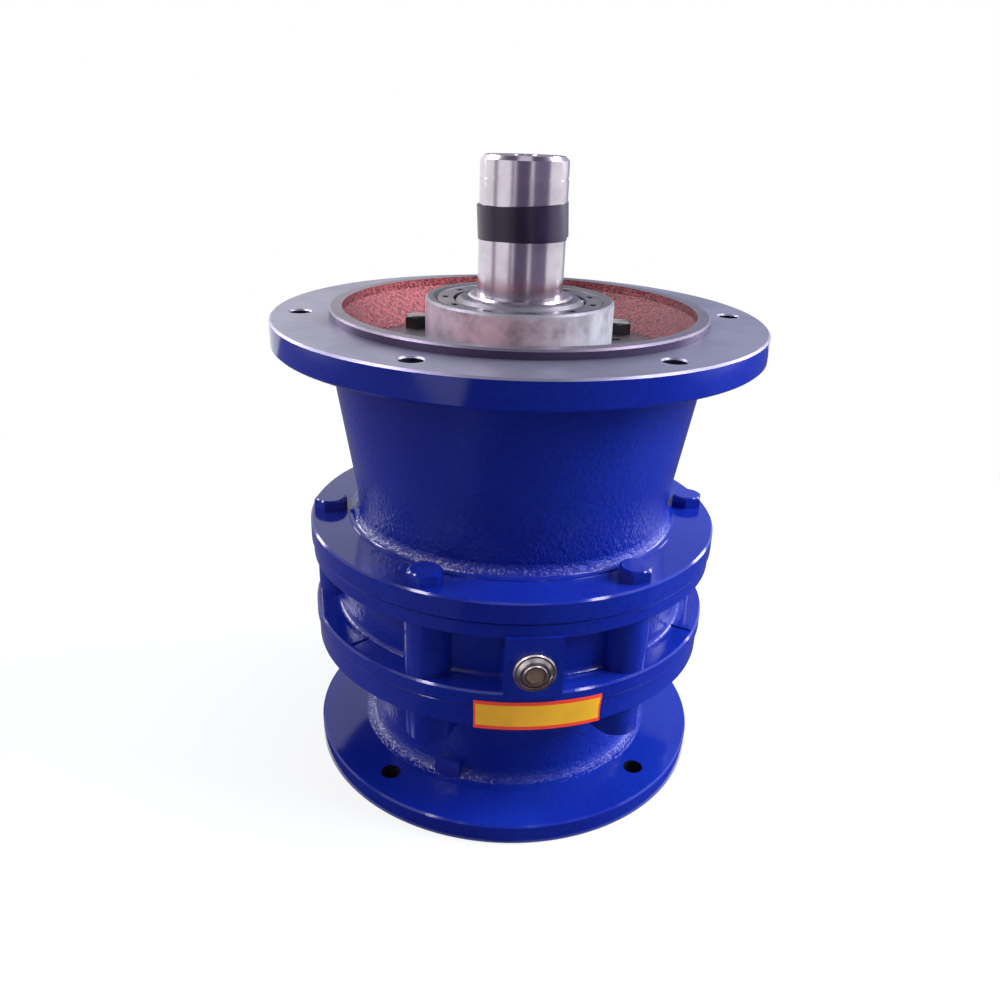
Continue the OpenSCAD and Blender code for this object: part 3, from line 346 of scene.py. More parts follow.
@dataclass(frozen=True)
class Enamel:
    """Gloss enamel over cast iron, with bare machined faces and primer in the bowl; painted shade
    darkens the bare walls and the walls of the bolt holes.

    A Fade in mm is measured upwards or outwards from the form that it is used with. A cast
    says how strongly the texture shows everywhere, then on a wall, then more at its foot.
    """

    colour: Colour = (0.0046, 0.0130, 0.215)
    thin_colour: Colour = (0.0062, 0.0215, 0.270)
    bare_iron: Colour = (0.245, 0.23, 0.32)
    # painted shade: the dark colour of the spigot wall and the bare faces that don't look up
    iron_wall_shade: Colour = (0.10, 0.070, 0.085)
    # painted shade: the near-black colour of the bolt holes' walls, where shade falls
    hole_wall_shade: Colour = (0.012, 0.012, 0.02)
    primer: Colour = (0.30, 0.054, 0.062)
    primer_dark: Colour = (0.12, 0.018, 0.024)
    roughness: float = 0.10
    iron_roughness: float = 0.34
    primer_roughness: float = 0.50
    iron_metallic: float = 0.85
    specular: float = 0.45
    grain_gloss: float = 0.06
    cast_gloss: float = 0.03
    cast_pimples: float = 0.8
    cast_grain: float = 0.2
    even_sag: float = 0.2
    even_grain: float = 0.006
    tone_clouds: float = 0.6
    tone_pimples: float = 0.4
    tone_range: Fade = (0.35, 0.7)
    stain_range: Fade = (0.35, 0.7)
    crust_range: Fade = (0.35, 0.65)
    facing_up: Fade = (0.5, 0.65)
    facing_aside: Fade = (0.65, 0.5)
    stained_share: float = 0.72
    stain_gloss: float = 0.1
    # how much painted shade the spigot wall gets
    spigot_shade_share: float = 0.6
    bell_cast: tuple[float, float, float] = (0.02, 0.30, 0.95)
    ring_cast: tuple[float, float] = (0.03, 0.3)
    neck_cast: tuple[float, float, float] = (0.03, 0.35, 0.45)
    bolt_cast: float = 0.06
    pimple_cells: float = 400.0
    pimple_depth: float = 1.0 * MM
    grain_cells: float = 1240.0
    sag_cells: float = 28.0
    tone_cells: float = 16.0
    stain_cells: float = 22.0
    crust_cells: float = 520.0
    crust_depth: float = 1.3 * MM
    turning_rate: float = 9000.0
    turning_depth: float = 0.012 * MM
    hole_edge: float = 2.0 * MM
    bell_start: Fade = (1.0 * MM, 2.0 * MM)
    bell_end: Fade = (0.0, -2.0 * MM)
    bell_foot: Fade = (44.0 * MM, 5.0 * MM)
    drum_wall: Fade = (4.5 * MM, 2.5 * MM)
    neck_wall: Fade = (8.5 * MM, 6.0 * MM)
    neck_foot: Fade = (18.0 * MM, 5.0 * MM)
    foot_top: Fade = (0.0, -0.5 * MM)
    face_above: Fade = (-2.2 * MM, -1.9 * MM)
    spigot_wall: Fade = (0.4 * MM, -0.2 * MM)
    mouth_inside: Fade = (0.7 * MM, 0.1 * MM)
    mouth_lip: Fade = (5.0 * MM, 2.5 * MM)
    bowl_depth: Fade = (-30.0 * MM, -25.0 * MM)
    flange_bottom: Fade = (-1.0 * MM, 1.0 * MM)

    def dress(self, name: str, skin: Skin, layout: Layout) -> bpy.types.Material:
        """Makes the material of one painted casting.

        Args:
            name: The material's name.
            skin: Which casting it is for.
            layout: Heights and radii of the castings.

        Returns:
            The material.
        """
        graph = MaterialGraph(name)
        spot = graph.spot()
        cast = self.cast_mask(graph, skin, layout, spot)
        pimples = graph.noise(spot.place, self.pimple_cells, 2.0, 0.55)
        grain = graph.noise(spot.place, self.grain_cells)
        sag = graph.noise(spot.place, self.sag_cells, 1.0)
        relief = (pimples * self.cast_pimples + grain * self.cast_grain) * cast \
            + sag * self.even_sag + grain * self.even_grain
        clouds = graph.noise(spot.place, self.tone_cells, 3.0)
        tone = clouds * self.tone_clouds + pimples * self.tone_pimples
        paint = graph.blend(graph.between(tone, *self.tone_range), self.colour,
                            self.thin_colour)
        gloss = self.roughness + self.grain_gloss * (grain - 0.5) + self.cast_gloss * cast
        normal = graph.bump(relief, self.pimple_depth)
        graph.set(Base_Color=paint, Roughness=gloss, Normal=normal,
                  Specular_IOR_Level=self.specular)
        if skin is Skin.OUTPUT:
            self.bare_output(graph, layout, spot, paint, gloss, normal)
        if skin is Skin.INPUT:
            # painted shade in the bolt holes of the foot flange
            shaded_holes = self.hole_mask(graph, layout.foot_holes, spot) \
                * graph.fade(spot.height, layout.neck_foot, self.foot_top)
            graph.set(Base_Color=graph.blend(shaded_holes, paint, self.hole_wall_shade))
        return graph.material

    def cast_mask(self, graph: Graph, skin: Skin, layout: Layout, spot: Spot) -> Value | float:
        """How much of the rough casting shows through the paint.

        Args:
            graph: The material's graph.
            skin: Which casting it is for.
            layout: Heights and radii of the castings.
            spot: The shaded point.

        Returns:
            The mask, about 0 on machined faces and 1 where the casting is roughest.
        """
        if skin is Skin.OUTPUT:
            bell = graph.fade(spot.height, layout.base_top, self.bell_start) \
                * graph.fade(spot.height, layout.bell_top, self.bell_end)
            foot = graph.fade(spot.height, layout.base_top, self.bell_foot)
            even, on_wall, at_foot = self.bell_cast
            return even + bell * (on_wall + at_foot * foot)
        if skin is Skin.RING:
            even, on_wall = self.ring_cast
            return even + on_wall * graph.fade(spot.radius, layout.drum_radius, self.drum_wall)
        if skin is Skin.INPUT:
            wall = graph.fade(spot.radius, layout.neck_radius, self.neck_wall)
            foot = graph.fade(spot.height, layout.neck_foot, self.neck_foot)
            even, on_wall, at_foot = self.neck_cast
            return even + wall * (on_wall + at_foot * foot)
        return self.bolt_cast

    def hole_mask(self, graph: Graph, ring: tuple[float, float], spot: Spot) -> Value:
        """The walls of bolt holes.

        Args:
            graph: The material's graph.
            ring: The two radii that the holes lie between.
            spot: The shaded point.

        Returns:
            The mask, 1 on the walls.
        """
        inner, outer = ring
        return graph.between(spot.radius, outer + self.hole_edge, outer) \
            * graph.between(spot.radius, inner - self.hole_edge, inner) \
            * graph.between(abs(spot.up), *self.facing_aside)

    def bare_output(self, graph: Graph, layout: Layout, spot: Spot, paint: Value, gloss: Value,
                    normal: Value) -> None:
        """Lays bare iron on the flange face and primer in the bowl over the paint, with painted shade
        on the bare walls and in the bolt holes.

        Args:
            graph: The material's graph.
            layout: Heights and radii of the castings.
            spot: The shaded point.
            paint: The paint's colour.
            gloss: The paint's roughness.
            normal: The paint's normal.
        """
        upward = graph.between(spot.up, *self.facing_up)
        spigot = graph.fade(spot.radius, layout.spigot_radius, self.spigot_wall)
        bare = graph.largest(upward, spigot) \
            * graph.fade(spot.height, layout.face, self.face_above)
        lip = graph.fade(spot.height, layout.face, self.mouth_lip)
        bowl = graph.fade(spot.radius, layout.mouth_radius, self.mouth_inside) \
            * graph.fade(spot.height, layout.bell_top, self.bowl_depth) \
            * graph.largest(lip, 1.0 - upward)
        metal = bare * (1.0 - bowl)

        stain = graph.noise(spot.place, self.stain_cells, 4.0, 0.6)
        iron = graph.blend(graph.between(stain, *self.stain_range), self.bare_iron,
                           shade_of(self.bare_iron, self.stained_share))
        # painted shade on the spigot wall and on the bare faces that don't look up
        iron = graph.blend(graph.largest(spigot * self.spigot_shade_share, 1.0 - upward), iron,
                           self.iron_wall_shade)
        crust = graph.noise(spot.place, self.crust_cells, 2.0, 0.6)
        rust = graph.blend(graph.between(crust, *self.crust_range), self.primer_dark,
                           self.primer)
        # painted shade in the bolt holes of the output flange
        shaded_holes = self.hole_mask(graph, layout.flange_holes, spot) \
            * graph.fade(spot.height, layout.bell_top, self.flange_bottom)
        colour = graph.blend(shaded_holes, graph.blend(bare, paint, iron), self.hole_wall_shade)

        turning = graph.math("SINE", spot.radius * self.turning_rate) * 0.5 + 0.5
        turned = graph.bump(turning * bare, self.turning_depth, normal)
        graph.set(
            Base_Color=graph.blend(bowl, colour, rust),
            Metallic=metal * self.iron_metallic,
            Roughness=gloss * (1.0 - bare) * (1.0 - bowl)
            + metal * (self.iron_roughness + self.stain_gloss * stain)
            + self.primer_roughness * bowl,
            Normal=graph.bump(crust * bowl, self.crust_depth, turned))


@dataclass(frozen=True)
class Steel:
    """Machined steel: turned, ground, plated or phosphated, with optional painted shade on faces that
    look up.
    """

    colour: Colour
    dark: Colour
    roughness: float
    stain_cells: float = 40.0
    metallic: float = 1.0
    # painted shade: faces that look up get the dark colour at this share of its brightness
    top_painted_shade: float = 1.0
    top_painted_shade_range: Fade = (0.35, 0.85)
    stain_range: Fade = (0.35, 0.75)
    stain_gloss: float = 0.12
    groove_gloss: float = 0.06
    groove_rate: float = 5200.0
    groove_depth: float = 0.004 * MM

    def dress(self, name: str) -> bpy.types.Material:
        """Makes the material; tool marks run round the reducer's axis.

        Args:
            name: The material's name.

        Returns:
            The material.
        """
        graph = MaterialGraph(name)
        spot = graph.spot()
        grooves = graph.out(graph.node(
            "TexNoise", {"noise_dimensions": "1D", "normalize": True},
            {"W": (spot.radius + spot.height) * self.groove_rate, "Detail": 2.0}), "Fac")
        stain = graph.noise(spot.place, self.stain_cells, 4.0, 0.6)
        colour = graph.blend(graph.between(stain, *self.stain_range), self.colour,
                             self.dark)
        # painted shade on faces that look up
        if self.top_painted_shade < 1.0:
            colour = graph.blend(graph.between(spot.up, *self.top_painted_shade_range), colour,
                                 shade_of(self.dark, self.top_painted_shade))
        graph.set(Base_Color=colour, Metallic=self.metallic,
                  Roughness=self.roughness + self.stain_gloss * (stain - 0.5)
                  + self.groove_gloss * (grooves - 0.5),
                  Normal=graph.bump(grooves, self.groove_depth))
        return graph.material


@dataclass(frozen=True)
class Coating:
    """A matt or satin skin with a fine grain: oxide, rubber, vinyl, paper or brass, with optional
    lighter patches on up-facing faces that are rubbed wear and a painted sheen.
    """

    colour: Colour
    second: Colour
    roughness: float
    metallic: float = 0.0
    # lighter colour in patches on faces that look up: rubbed wear and a painted sheen
    worn_and_sheen: Colour | None = None
    grain_cells: float = 500.0
    cloud_cells: float = 500.0 / 9.0
    grain_depth: float = 0.04 * MM
    grain_gloss: float = 0.12
    cloud_range: Fade = (0.3, 0.75)
    rubbed_sheen_range: Fade = (0.42, 0.52)
    rubbed_sheen_facing: Fade = (0.8, 0.95)

    def dress(self, name: str) -> bpy.types.Material:
        """Makes the material.

        Args:
            name: The material's name.

        Returns:
            The material.
        """
        graph = MaterialGraph(name)
        spot = graph.spot()
        grain = graph.noise(spot.place, self.grain_cells, 3.0)
        cloud = graph.noise(spot.place, self.cloud_cells, 3.0, 0.6)
        colour = graph.blend(graph.between(cloud, *self.cloud_range), self.colour,
                             self.second)
        # rubbed wear and a painted sheen, in patches on faces that look up
        if self.worn_and_sheen:
            rubbed_and_sheen = graph.between(spot.up, *self.rubbed_sheen_facing) \
                * graph.between(cloud, *self.rubbed_sheen_range)
            colour = graph.blend(rubbed_and_sheen, colour, self.worn_and_sheen)
        graph.set(Base_Color=colour, Metallic=self.metallic,
                  Roughness=self.roughness + self.grain_gloss * (grain - 0.5),
                  Normal=graph.bump(grain, self.grain_depth))
        return graph.material


@dataclass(frozen=True)
class LabelPrint:
    """Printed vinyl: a yellow panel in a red border, left without words."""

    panel: Colour = (1.0, 0.47, 0.012)
    border: Colour = (0.95, 0.05, 0.015)
    border_width: float = 2.0 * MM
    print_edge: float = 0.1 * MM
    roughness: float = 0.34
    smudge_gloss: float = 0.1
    smudge_cells: float = 60.0
    smudge_range: Fade = (0.4, 0.8)
    smudged_share: float = 0.86
    ripple_cells: float = 90.0
    ripple_depth: float = 0.12 * MM

    def dress(self, label: "JointLabel") -> bpy.types.Material:
        """Makes the material for a label.

        Args:
            label: The label, which says where its middle and edges are.

        Returns:
            The material.
        """
        graph = MaterialGraph("label_vinyl")
        spot = graph.spot()
        across = abs(graph.turn(spot.place) - math.radians(label.middle_deg)) * label.radius
        along = abs(spot.height - (label.bottom + label.top) / 2.0)
        half_width = label.radius * math.radians(label.span_deg) / 2.0
        half_height = (label.top - label.bottom) / 2.0
        edge = graph.math("MINIMUM", half_width - across, half_height - along)
        inside = graph.fade(edge, self.border_width, (-self.print_edge, self.print_edge))
        smudge = graph.noise(spot.place, self.smudge_cells, 3.0)
        panel = graph.blend(graph.between(smudge, *self.smudge_range), self.panel,
                            shade_of(self.panel, self.smudged_share))
        ripple = graph.noise(spot.place, self.ripple_cells)
        graph.set(Base_Color=graph.blend(inside, self.border, panel),
                  Roughness=self.roughness + self.smudge_gloss * smudge,
                  Normal=graph.bump(ripple, self.ripple_depth))
        return graph.material


# ---------------------------------------------------------------- modelling helpers


DRESSED: set[str] = set()


def dress_node(node: str, material: bpy.types.Material) -> None:
    """Gives a CAD node its finish, and notes in DRESSED that it has one.

    Args:
        node: The node's name.
        material: The finish.
    """
    for slot in frame["nodes"][node].material_slots:
        slot.material = material
    DRESSED.add(node)
    log.info("node %s wears %s", node, material.name)


def select_only(piece: bpy.types.Object) -> None:
    """Deselects everything, then selects one piece and makes it active."""
    bpy.ops.object.select_all(action="DESELECT")
    piece.select_set(True)
    bpy.context.view_layer.objects.active = piece


def finish_piece(piece: bpy.types.Object, name: str, material: bpy.types.Material, body: str) -> None:
    """Applies a piece's place, smooths it, dresses it and lets it ride.

    Args:
        piece: The finished object.
        name: Its name.
        material: Its finish.
        body: The body that it rides on.
    """
    select_only(piece)
    for modifier in list(piece.modifiers):
        bpy.ops.object.modifier_apply(modifier=modifier.name)
    bpy.ops.object.transform_apply(location=True, rotation=True, scale=True)
    bpy.ops.object.shade_smooth_by_angle(angle=math.radians(SMOOTH_DEG))
    piece.name = name
    piece.data.name = name
    piece.data.materials.clear()
    piece.data.materials.append(material)
    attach(piece, body)
    log.info("piece %s rides on %s", name, body)


def curved_sheet(radius: float, low: float, high: float, middle_deg: float, span_deg: float,
                 steps: int = 720) -> bpy.types.Object:
    """A strip of a cylinder about the reducer's axis, open at its ends.

    Args:
        radius: The cylinder's radius.
        low: The height of the strip's lower edge.
        high: The height of its upper edge.
        middle_deg: The angle of the strip's middle.
        span_deg: How far it reaches round the axis.
        steps: How many faces a whole turn would have.

    Returns:
        The strip, in object mode.
    """
    bpy.ops.object.select_all(action="DESELECT")
    bpy.ops.mesh.primitive_cylinder_add(vertices=steps, radius=radius, depth=high - low,
                                        end_fill_type="NOTHING",
                                        location=(0.0, 0.0, (low + high) / 2.0))
    strip = bpy.context.active_object
    bpy.ops.object.transform_apply(location=True, rotation=True, scale=True)
    bpy.ops.object.mode_set(mode="EDIT")
    bpy.ops.mesh.select_all(action="DESELECT")
    bpy.ops.object.mode_set(mode="OBJECT")
    middle = Vector((math.cos(math.radians(middle_deg)), math.sin(math.radians(middle_deg))))
    limit = math.cos(math.radians(span_deg / 2.0))
    for vertex in strip.data.vertices:
        vertex.select = Vector(vertex.co[:2]).normalized().dot(middle) < limit
    bpy.ops.object.mode_set(mode="EDIT")
    bpy.ops.mesh.delete(type="VERT")
    bpy.ops.object.mode_set(mode="OBJECT")
    return strip


def thicken(sheet: bpy.types.Object, thickness: float) -> None:
    """Gives a sheet its thickness outward.

    Args:
        sheet: The open sheet.
        thickness: The wall that it gets.
    """
    solid = sheet.modifiers.new("thickness", "SOLIDIFY")
    solid.thickness = thickness
    solid.offset = 1.0
    solid.use_even_offset = True


# ---------------------------------------------------------------- sub-assemblies


@dataclass
class Castings:
    """The three painted housings with their bolts and gaskets."""

    layout: Layout
    enamel: Enamel = field(default_factory=Enamel)
    paper: Coating = Coating((0.012, 0.02, 0.25), (0.02, 0.03, 0.30), 0.4)

    def dress(self) -> None:
        """Gives each casting its paint."""
        skins = {"output_housing": Skin.OUTPUT, "pin_gear_housing": Skin.RING,
                 "input_housing": Skin.INPUT, "housing_bolts": Skin.BOLT}
        for node, skin in skins.items():
            dress_node(node, self.enamel.dress(node + "_enamel", skin, self.layout))
        paper = self.paper.dress("joint_paper")
        for node in ("input_gasket", "output_gasket"):
            dress_node(node, paper)


@dataclass
class JointLabel:
    """The label that bridges the joint under the oil plug."""

    layout: Layout
    vinyl: LabelPrint = field(default_factory=LabelPrint)
    middle_deg: float = -82.0
    span_deg: float = 34.0
    bottom: float = 73.5 * MM
    top: float = 90.5 * MM
    fold: float = 0.3 * MM
    step: float = 1.0 * MM
    slope: float = 5.0 * MM
    thickness: float = 0.25 * MM
    clearance: float = 0.12 * MM
    tolerance: float = 0.1 * MM
    radius: float = field(init=False)

    def __post_init__(self) -> None:
        """The label lies on the pin gear housing's ring."""
        self.radius = self.layout.ring_radius + self.clearance

    def build(self) -> None:
        """Bends a sheet round the joint, and steps it in under the ring."""
        sheet = curved_sheet(self.radius, self.bottom, self.top, self.middle_deg, self.span_deg)
        joint = self.layout.ring_bottom
        step_top = joint - self.slope
        select_only(sheet)
        bpy.ops.object.mode_set(mode="EDIT")
        for height in (joint + self.fold, step_top):
            bpy.ops.mesh.select_all(action="SELECT")
            bpy.ops.mesh.bisect(plane_co=(0.0, 0.0, height), plane_no=(0.0, 0.0, 1.0))
        bpy.ops.mesh.select_all(action="DESELECT")
        bpy.ops.object.mode_set(mode="OBJECT")
        for vertex in sheet.data.vertices:
            vertex.select = vertex.co.z < step_top + self.tolerance
        bpy.ops.object.mode_set(mode="EDIT")
        shrink = (self.radius - self.step) / self.radius
        bpy.ops.transform.resize(value=(shrink, shrink, 1.0), center_override=(0.0, 0.0, 0.0))
        bpy.ops.object.mode_set(mode="OBJECT")
        thicken(sheet, self.thickness)
        finish_piece(sheet, "joint_label", self.vinyl.dress(self), "housing")


@dataclass
class OutputEnd:
    """Shaft, bearing and retainer that stand open in the bowl."""

    shaft: Steel = Steel(colour=(0.67, 0.61, 0.68), dark=(0.50, 0.45, 0.52), roughness=0.19)
    # the rings' faces that look up get painted shade
    ring: Steel = Steel(colour=(0.72, 0.69, 0.77), dark=(0.33, 0.30, 0.36), roughness=0.42,
                        stain_cells=70.0, metallic=0.6, top_painted_shade=0.25)
    roller: Steel = Steel(colour=(0.60, 0.59, 0.61), dark=(0.50, 0.49, 0.51), roughness=0.15)
    cage: Coating = Coating((0.13, 0.11, 0.13), (0.22, 0.19, 0.22), 0.36, 0.9)
    plate: Steel = Steel(colour=(0.24, 0.23, 0.25), dark=(0.15, 0.14, 0.16), roughness=0.42)
    # the retainer bolts' tops get rubbed wear and a painted sheen
    oxide: Coating = Coating((0.012, 0.011, 0.012), (0.03, 0.028, 0.03), 0.34, 0.5,
                             worn_and_sheen=(0.30, 0.29, 0.31))
    rubber: Coating = Coating((0.012, 0.012, 0.013), (0.02, 0.02, 0.02), 0.55)
    tape: Coating = Coating((0.012, 0.006, 0.022), (0.022, 0.012, 0.034), 0.30)
    key: Steel = Steel(colour=(0.36, 0.35, 0.37), dark=(0.24, 0.23, 0.25), roughness=0.35)

    def dress(self) -> None:
        """Gives the metal at the output end its finishes."""
        dress_node("output_shaft", self.shaft.dress("shaft_steel"))
        ring = self.ring.dress("bearing_ring_steel")
        for node in ("outer_bearing_outer_ring", "outer_bearing_inner_ring"):
            dress_node(node, ring)
        dress_node("outer_bearing_rollers", self.roller.dress("roller_steel"))
        dress_node("outer_bearing_cage", self.cage.dress("cage_steel"))
        dress_node("bearing_retainer_plate", self.plate.dress("retainer_steel"))
        dress_node("retainer_bolts", self.oxide.dress("bolt_oxide"))
        rubber = self.rubber.dress("seal_nitrile")
        for node in ("output_oil_seal", "input_oil_seal"):
            dress_node(node, rubber)
        dress_node("shaft_tape", self.tape.dress("tape_vinyl"))
        dress_node("output_shaft_key", self.key.dress("key_steel"))


@dataclass
class TapeEnd:
    """The last turn of the wound tape, which climbs to the right and ends in a slanted cut.

    The shaft's tape is dressed before it is built, and lends it its finish.
    """

    clearance: float = 0.04 * MM
    thickness: float = 0.35 * MM
    rise: float = 0.6 * MM
    climb_deg: float = 3.0
    start_deg: float = -190.0
    end_deg: float = 35.0
    trim_deg: float = 4.0
    slant: float = 5.0 * MM
    steps: int = 360

    def build(self) -> None:
        """Wraps a strip over the tape, tips it and cuts its end askew."""
        low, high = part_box("shaft_tape")
        radius = high[0] + self.clearance
        middle = (low[2] + high[2]) / 2.0 + self.rise
        strip = curved_sheet(radius, low[2] + self.rise, high[2] + self.rise,
                             (self.start_deg + self.end_deg) / 2.0,
                             self.end_deg - self.start_deg, self.steps)
        select_only(strip)
        bpy.ops.object.mode_set(mode="EDIT")
        bpy.ops.mesh.select_all(action="SELECT")
        bpy.ops.transform.rotate(value=math.radians(self.climb_deg), orient_axis="Y",
                                 center_override=(0.0, 0.0, middle))
        end = math.radians(self.end_deg - self.trim_deg)
        tangent = Vector((-math.sin(end), math.cos(end), 0.0))
        cut = tangent - Vector((0.0, 0.0, self.slant / (high[2] - low[2])))
        bpy.ops.mesh.bisect(plane_co=(radius * math.cos(end), radius * math.sin(end), middle),
                            plane_no=cut.normalized())
        bpy.ops.object.mode_set(mode="OBJECT")
        thicken(strip, self.thickness)
        vinyl = frame["nodes"]["shaft_tape"].material_slots[0].material
        finish_piece(strip, "shaft_tape_end", vinyl, "output_shaft")


@dataclass
class OilPlug:
    """The plated plug with its washer and lens."""

    nickel: Steel = Steel(colour=(0.78, 0.72, 0.72), dark=(0.52, 0.47, 0.47), roughness=0.28)
    lens: Coating = Coating((0.16, 0.09, 0.065), (0.26, 0.17, 0.13), 0.16)

    def dress(self) -> None:
        """Gives the plug its finishes."""
        nickel = self.nickel.dress("plug_plating")
        for node in ("oil_plug", "oil_plug_washer"):
            dress_node(node, nickel)
        dress_node("oil_plug_lens", self.lens.dress("plug_lens"))


@dataclass
class Drive:
    """The parts inside the housings."""

    ground: Steel = Steel(colour=(0.60, 0.58, 0.60), dark=(0.52, 0.50, 0.52), roughness=0.18)
    phosphate: Steel = Steel(colour=(0.20, 0.20, 0.21), dark=(0.14, 0.14, 0.15), roughness=0.4)
    brass: Coating = Coating((0.62, 0.40, 0.12), (0.50, 0.31, 0.09), 0.3, 1.0)

    def dress(self) -> None:
        """Gives every node that nothing else dresses a finish by its material slot."""
        ground = self.ground.dress("drive_ground")
        by_slot = {"brass": self.brass.dress("cage_brass"),
                   "phosphated_steel": self.phosphate.dress("drive_phosphate")}
        slots = {part["node"]: part["material_slot"] for part in frame["record"]["subparts"]}
        for node in frame["nodes"]:
            if node not in DRESSED:
                dress_node(node, by_slot.get(slots[node], ground))


# ---------------------------------------------------------------- studio


def on_circle(radius: float, bearing_deg: float, height: float) -> Vector:
    """A place round the reducer; bearings run from its front, positive to its right."""
    angle = math.radians(bearing_deg - 90.0)
    return Vector((radius * math.cos(angle), radius * math.sin(angle), height))


def stand_aside(card: bpy.types.Object, name: str, shade: Colour, upright: bool) -> None:
    """Gives a card one even shade and hides it from the camera.

    Args:
        card: The card.
        name: Its name.
        shade: Its brightness, where 1 is white.
        upright: Whether it also shades soft light, as one that lies flat must not.
    """
    card.name = name
    graph = MaterialGraph(name + "_shade")
    graph.end_with(graph.glow(shade))
    card.data.materials.clear()
    card.data.materials.append(graph.material)
    card.visible_camera = False
    card.visible_shadow = False
    card.visible_diffuse = upright


@dataclass(frozen=True)
class Flag:
    """An upright curved card that only reflections and soft light see."""

    name: str
    start_deg: float
    end_deg: float
    shade: Colour
    radius: float = 1.25
    low: float = 1.0 * MM
    high: float = 1.5
    steps: int = 180

    def build(self) -> None:
        """Stands the card round the reducer."""
        middle = (self.start_deg + self.end_deg) / 2.0 - 90.0
        card = curved_sheet(self.radius, self.low, self.high, middle,
                            self.end_deg - self.start_deg, self.steps)
        stand_aside(card, self.name, self.shade, True)


@dataclass(frozen=True)
class Mat:
    """A flat card that only reflections see, between two x and two y values."""

    name: str
    left: float
    right: float
    near: float
    far: float
    shade: Colour
    height: float = 0.5 * MM

    def build(self) -> None:
        """Lays the card out."""
        middle = ((self.left + self.right) / 2.0, (self.near + self.far) / 2.0, self.height)
        bpy.ops.object.select_all(action="DESELECT")
        bpy.ops.mesh.primitive_plane_add(size=1.0, location=middle)
        card = bpy.context.active_object
        card.scale = (self.right - self.left, self.far - self.near, 1.0)
        bpy.ops.object.transform_apply(location=True, rotation=True, scale=True)
        stand_aside(card, self.name, self.shade, False)


@dataclass(frozen=True)
class RingMat:
    """A flat ring round the reducer's foot that only reflections see."""

    inner: float = 0.116
    outer: float = 0.150
    shade: Colour = (0.05, 0.04, 0.08)
    height: float = 1.0 * MM
    steps: int = 96

    def build(self) -> None:
        """Lays the ring on the floor."""
        bpy.ops.object.select_all(action="DESELECT")
        bpy.ops.mesh.primitive_circle_add(vertices=self.steps, radius=self.outer,
                                          location=(0.0, 0.0, self.height))
        card = bpy.context.active_object
        bpy.ops.object.mode_set(mode="EDIT")
        bpy.ops.mesh.select_all(action="SELECT")
        bpy.ops.mesh.extrude_edges_move()
        shrink = self.inner / self.outer
        bpy.ops.transform.resize(value=(shrink, shrink, 1.0), center_override=(0.0, 0.0, 0.0))
        bpy.ops.object.mode_set(mode="OBJECT")
        stand_aside(card, "mat_ring", self.shade, False)


@dataclass(frozen=True)
class Lamp:
    """A rectangular lamp that faces the reducer."""

    name: str
    bearing_deg: float
    distance: float
    height: float
    size: tuple[float, float]
    watts: float
    colour: Colour
    mirrored: bool = False
    aim_height: float = 0.18

    def build(self) -> None:
        """Hangs the lamp, which only gives highlights if it is mirrored, and only light if not."""
        data = bpy.data.lights.new(self.name, "AREA")
        data.shape = "RECTANGLE"
        data.size, data.size_y = self.size
        data.energy = self.watts
        data.color = self.colour
        lamp = bpy.data.objects.new(self.name, data)
        lamp.visible_glossy = self.mirrored
        lamp.visible_diffuse = not self.mirrored
        bpy.context.scene.collection.objects.link(lamp)
        place = on_circle(self.distance, self.bearing_deg, self.height)
        aim = Vector((0.0, 0.0, self.aim_height)) - place
        lamp.matrix_world = (Matrix.Translation(place)
                             @ aim.to_track_quat("-Z", "Y").to_matrix().to_4x4())


@dataclass
class Floor:
    """A white floor that keeps the shadow, and glows outside the reducer's foot only."""

    size: float = 12.0
    lit: Colour = (0.3, 0.3, 0.3)
    seen: Colour = (0.85, 0.85, 0.85)
    roughness: float = 0.9
    near_glow: float = 0.84
    far_glow: float = 1.0
    spread: Fade = (0.30, 0.75)
    foot: Fade = (0.112, 0.114)

    def build(self) -> None:
        """Lays the floor."""
        bpy.ops.object.select_all(action="DESELECT")
        bpy.ops.mesh.primitive_plane_add(size=self.size, location=(0.0, 0.0, 0.0))
        floor = bpy.context.active_object
        floor.name = "studio_floor"
        graph = MaterialGraph("floor_paper")
        camera = graph.out(graph.node("LightPath"), "Is Camera Ray")
        graph.set(Base_Color=graph.blend(camera, self.lit, self.seen),
                  Roughness=self.roughness, Specular_IOR_Level=0.0)
        radius = graph.spot().radius
        far = graph.between(radius, *self.spread)
        beside = graph.between(radius, *self.foot)
        share = graph.shown() * beside * (self.near_glow
                                          + (self.far_glow - self.near_glow) * far)
        mix = graph.node("MixShader", None, {
            0: share, 1: graph.out(graph.shader), 2: graph.glow(WHITE)})
        graph.end_with(graph.out(mix))
        floor.data.materials.append(graph.material)


@dataclass
class Camera:
    """The camera, above the output flange and looking down."""

    place: tuple[float, float, float] = (-0.007, -0.473, 0.352)
    down_deg: float = 23.19
    roll_deg: float = 1.88
    lens: float = 31.8
    sensor: float = 36.0

    def build(self) -> None:
        """Places the camera."""
        data = bpy.data.cameras.new("camera")
        data.lens = self.lens
        data.sensor_width = self.sensor
        camera = bpy.data.objects.new("camera", data)
        bpy.context.scene.collection.objects.link(camera)
        tilt = Matrix.Rotation(math.radians(90.0 - self.down_deg), 4, "X")
        roll = Matrix.Rotation(math.radians(self.roll_deg), 4, "Z")
        camera.matrix_world = Matrix.Translation(self.place) @ tilt @ roll
        bpy.context.scene.camera = camera


